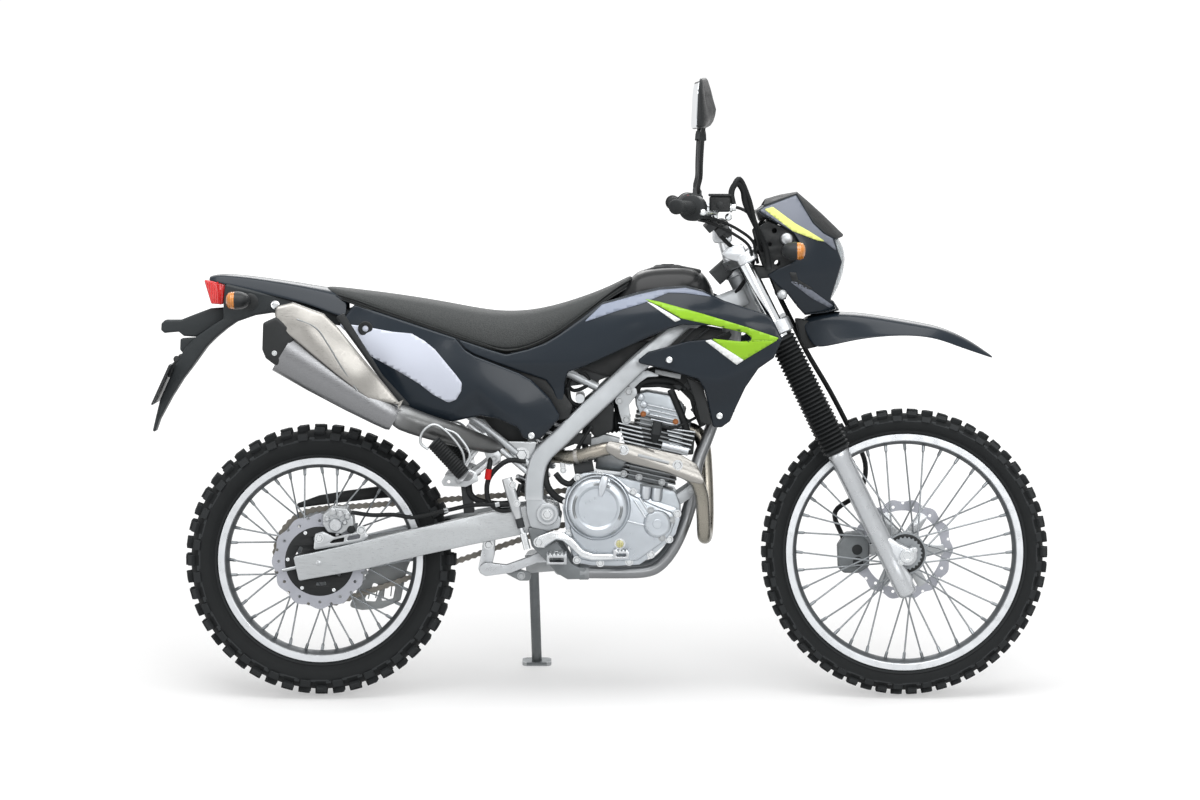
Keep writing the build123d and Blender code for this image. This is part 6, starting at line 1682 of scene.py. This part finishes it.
def mask_sides(body, form):
    line = rounded(MASK_SIDE, 4, 3)
    for side, tag in SIDES:
        panel("mask_" + tag, line, form, body, "dark", side, 3.5, 3.5, 7, stands_for=on_right(side, "headlight_cowl"))
        host = (line, 3.5)

        def decal(name, outline, mat, lift, corner=3):
            panel(f"{name}_{tag}", rounded(outline, corner, 3), form, body, mat, side, 0.4, 0, 7, lift + 0.6, host)

        # Painted highlights: the pale sheen over the upper face of the mask and the pale band low on its front.
        decal("mask_shine", [(1034, 1147), (1045, 1154), (1120, 1182), (1159, 1117), (1184, 1093), (1206, 1081),
                             (1217, 1050), (1190, 1072), (1160, 1084), (1113, 1098)], "mask_painted_highlight", 0.8)
        decal("mask_stripe", [(1045, 1150), (1065, 1156), (1118, 1117), (1150, 1099), (1190, 1074), (1170, 1077),
                              (1112, 1099)], "yellow", 1.1, 2)
        decal("mask_painted_highlight_band", [(1104, 982), (1120, 980), (1160, 958), (1210, 922), (1200, 918), (1156, 942)],
              "mask_painted_highlight", 0.8)
        decal("mask_shade", [(1103, 1004), (1120, 1002), (1124, 986), (1160, 964), (1150, 962), (1112, 978)],
              "smooth_plastic", 0.8)
        plate = [(1020, 1100), (1052, 1122), (1112, 1100), (1130, 1060), (1122, 1020), (1080, 1004), (1050, 1000),
                 (1036, 1040)]
        holes = [circle(1069, 1100, 6, 20), circle(1058, 1068, 5, 20), circle(1076, 1024, 7, 20),
                 circle(1092, 1050, 6, 20)]
        cut("mask_plate_" + tag, [rounded(plate, 8), *holes], side * 88, side * 93, body, "smooth_plastic", 1.5)
        lathe("mask_knob_a_" + tag, [(0, 10), (9, 10), (12, 8.5), (14, 5), (14.3, 0), (12, -3), (9, -16), (0, -16)],
              (1097, side * 106, 1081), (0, side, 0), body, "forged", 36, smooth=40)
        lathe("mask_knob_b_" + tag, [(0, 8), (8, 8), (10, 6.5), (12, 3), (12, -2), (8, -4), (8, -16), (0, -16)],
              (1087, side * 102, 951), (0, side, 0), body, "forged", 36, smooth=40)
        arm = [(1008, 996), (1022, 986), (1062, 990), (1080, 940), (1098, 938), (1094, 964), (1072, 1010),
               (1030, 1016), (1010, 1012)]
        slab("mask_bracket_" + tag, arm, 5, side * 92, side * 97, body, "plastic", 1.5)
        indicator("front_" + tag, 1106, side * 178, 1054, 1, body, on_right(side, "front_indicators"))
        stem = [(9, 0)] + [(9.5 - (k % 2) * 1.2, 2 + 3 * k) for k in range(16)] + [(9, 50), (0, 50)]
        lathe("front_lamp_stem_" + tag, stem, (1104, side * 104, 1054), (0, side, 0), body, "boot", 28)


def mask_front(body, form):
    across_line = [((1043, 1157), (1050, 1172)), ((1080, 1171), (1084, 1182)), ((1122, 1186), (1124, 1189)),
                   ((1142, 1150), (1152, 1165)), ((1162, 1117), (1182, 1138)), ((1187, 1094), (1209, 1112)),
                   ((1211, 1082), (1233, 1089)), ((1213, 1080), (1232, 1086)), ((1205, 1079), (1222, 1083))]
    rings = []
    for (sx, sz), (cx, cz) in across_line:
        half = float(form([(sx, sz)])[0]) - 1.5
        rings.append([(cx + (sx - cx) * abs(t) ** 1.5, t * half,
                       cz + (sz - cz) * abs(t) ** 1.5) for t in np.linspace(-1, 1, 17)])
    crown = loft("mask_crown", rings, body, "crown", closed=False, smooth=24)
    thicken(crown, 3, 0)
    rings = []
    for px, pz in [(1206, 934), (1220, 913), (1190, 908), (1142, 903), (1122, 926)]:
        half = float(form([(min(px, 1214), pz)])[0]) - 2
        rings.append([(px + 5 * (1 - t * t), t * half, pz - 2 * (1 - t * t)) for t in np.linspace(-1, 1, 15)])
    chin = loft("mask_chin", rings, body, "dark", closed=False, smooth=40)
    thicken(chin, 3, 0)


def headlight_pieces(body):
    rows = [(1221, 1084, 1208, 52), (1232, 1066, 1213, 60), (1238.5, 1044, 1218, 62), (1238, 1018, 1224, 60),
            (1232, 989, 1215, 60), (1220, 960, 1204, 58), (1203, 931, 1194, 50)]
    rings = []
    for front, pz, rear, half in rows:
        rings.append([(rear + (front - rear) * (1 - abs(t) ** 3.0), t * half, pz) for t in np.linspace(-1, 1, 21)])
    outer = loft("headlight_glass", rings, body, "clear", closed=False, stands_for=["headlight"], smooth=70)
    thicken(outer, 3, -1)
    refine(outer, 2)
    bowl = [(0, 0), (20, 2), (36, 10), (48, 24), (54, 38), (56, 44)]
    lathe("headlight_bowl", bowl, (1166, 0, 1016), (1, 0, -0.05), body, "chrome", 48, smooth=70)
    lathe("headlight_bulb", [(0, 34), (6, 33), (8, 26), (8, 0), (0, 0)], (1168, 0, 1016), (1, 0, -0.05), body,
          "clear", 24)
    slab("headlight_back", [(1150, 1066), (1200, 1074), (1196, 944), (1150, 954)], 8, -58, 58, body, "smooth_plastic",
         4)


def instrument_pieces(body):
    strut("instrument", [(1030, 0, 1134), (1066, 0, 1148), (1108, 0, 1168)], [(26, 120), (34, 150), (24, 130)], body,
          "smooth_plastic", 9)
    strut("instrument_face", [(1042, 0, 1155), (1082, 0, 1174)], (2, 104), body, "tank", 0.9)
    stay = [(1050, 1148), (1078, 1160), (1090, 1150), (1080, 1120), (1068, 1060), (1050, 1060), (1052, 1110)]
    slab("instrument_stay", stay, 6, -34, 34, body, "black_metal", 2)
    tube("clock_cable", [(1060, 10, 1140), (1036, 26, 1110), (1026, 34, 1060), (1034, 40, 1020)], 4, body, "hose")


for pieces in (fork_legs, clamps_and_bar, boots_and_hose, bar_end_pieces, bar_fittings):
    pieces("steering")
mask_form = Surface(MASK_FORM, 2.0)
mask_sides("steering", mask_form)
mask_front("steering", mask_form)
headlight_pieces("steering")
instrument_pieces("steering")


# ---------------------------------------------------------------- CAD nodes that stay as they are
DRESS = {"fork_tubes": "chrome", "front_hub": "spoke", "rear_hub": "spoke", "rear_sprocket": "steel",
         "cylinder": "fins", "airbox": "plastic", "handlebar": "black_metal", "side_stand": "casting"}
for node, mat in DRESS.items():
    for slot in bpy.data.objects[node].material_slots:
        slot.link = "OBJECT"
        slot.material = MAT[mat]


# ---------------------------------------------------------------- stage, light and camera
def far_glow(nodes, links):
    """Glow that grows away from the object, where the lamps no longer reach the floor."""
    place = nodes.new("ShaderNodeNewGeometry")
    away = nodes.new("ShaderNodeVectorMath")
    away.operation = "LENGTH"
    links.new(place.outputs["Position"], away.inputs[0])
    grow = nodes.new("ShaderNodeMapRange")
    for socket, value in (("From Min", 1.2), ("From Max", 5.0), ("To Min", 0.42), ("To Max", 0.85)):
        grow.inputs[socket].default_value = value
    links.new(away.outputs["Value"], grow.inputs["Value"])
    return grow.outputs["Result"]


def math_node(nodes, links, operation, first, second):
    node = nodes.new("ShaderNodeMath")
    node.operation = operation
    links.new(first, node.inputs[0])
    links.new(second, node.inputs[1])
    return node.outputs[0]


def in_view(nodes, links):
    """1 where the camera looks, by itself, off a shiny surface or through glass, and 0 for rays that light things."""
    ray = nodes.new("ShaderNodeLightPath").outputs
    indirect = math_node(nodes, links, "MAXIMUM", ray["Is Glossy Ray"], ray["Is Transmission Ray"])
    return math_node(nodes, links, "MAXIMUM", ray["Is Camera Ray"], indirect)


FLOOR_SIZE = 160  # m
FLOOR_GREY = 0.55
WORLD_LIGHT = 0.34  # strength of the white world where it isn't in view


def white_floor():
    """Floor that looks white: a grey that takes the shadows, and a glow that only shows in view."""
    bpy.ops.mesh.primitive_plane_add(size=FLOOR_SIZE, location=(0, 0, 0))
    floor = bpy.context.object
    floor.name = "floor"
    material = bpy.data.materials.new("floor")
    material.use_nodes = True
    nodes, links = material.node_tree.nodes, material.node_tree.links
    nodes.clear()
    out = nodes.new("ShaderNodeOutputMaterial")
    diffuse = nodes.new("ShaderNodeBsdfDiffuse")
    diffuse.inputs["Color"].default_value = (FLOOR_GREY, FLOOR_GREY, FLOOR_GREY, 1)
    glow = nodes.new("ShaderNodeEmission")
    strength = math_node(nodes, links, "MULTIPLY", in_view(nodes, links), far_glow(nodes, links))
    links.new(strength, glow.inputs["Strength"])
    both = nodes.new("ShaderNodeAddShader")
    links.new(diffuse.outputs[0], both.inputs[0])
    links.new(glow.outputs[0], both.inputs[1])
    links.new(both.outputs[0], out.inputs["Surface"])
    floor.data.materials.append(material)


def white_world():
    """White backdrop that lights the object less than it shows."""
    world = bpy.data.worlds.new("studio")
    bpy.context.scene.world = world
    world.use_nodes = True
    nodes, links = world.node_tree.nodes, world.node_tree.links
    back = nodes["Background"]
    level = nodes.new("ShaderNodeMapRange")
    level.inputs["To Min"].default_value = WORLD_LIGHT
    level.inputs["To Max"].default_value = 1.0
    links.new(in_view(nodes, links), level.inputs["Value"])
    links.new(level.outputs["Result"], back.inputs["Strength"])
    back.inputs["Color"].default_value = (1, 1, 1, 1)


def area_light(name, at, aim, size, power):
    light = bpy.data.lights.new(name, "AREA")
    light.shape = "RECTANGLE"
    light.size, light.size_y = size
    light.energy = power
    obj = bpy.data.objects.new(name, light)
    bpy.context.scene.collection.objects.link(obj)
    obj.location = at
    obj.rotation_euler = (Vector(aim) - Vector(at)).to_track_quat("-Z", "Y").to_euler()


EYE, AIM = (707, -12000, 1312), (660, 0, 698)  # mm on the upright motorcycle
PICTURE_WIDTH = 2.838  # m across the picture at the aim
SENSOR = 36.0  # mm


def photo_camera():
    """Camera that turns with the leaning motorcycle, so that it stands upright in the picture."""
    camera = bpy.data.cameras.new("photo_camera")
    obj = bpy.data.objects.new("photo_camera", camera)
    bpy.context.scene.collection.objects.link(obj)
    eye, aim = ROW @ Vector(EYE), ROW @ Vector(AIM)
    back = (eye - aim).normalized()
    up = TURN.to_3x3() @ Vector((0, 0, 1))
    right = up.cross(back).normalized()
    turn = Matrix((right, back.cross(right), back)).transposed().to_4x4()
    obj.matrix_world = Matrix.Translation(eye) @ turn
    camera.sensor_width = SENSOR
    camera.lens = SENSOR * (eye - aim).length / PICTURE_WIDTH
    camera.clip_end = 200
    bpy.context.scene.camera = obj


white_floor()
white_world()
for light in (  # name, place, aim, size, power in watts
    ("overhead", (0.0, -0.6, 4.2), (0, 0, 0.4), (5.0, 3.2), 185),
    ("key", (1.6, -5.0, 3.2), (0.1, 0, 0.7), (3.2, 2.2), 105),
    ("fill", (-3.6, -4.2, 1.8), (-0.3, 0, 0.6), (2.2, 2.6), 35),
    ("far_side", (0.4, 4.6, 2.6), (0, 0, 0.6), (3.4, 2.0), 60),
):
    area_light(*light)
photo_camera()

bpy.context.scene.view_settings.view_transform = "Standard"
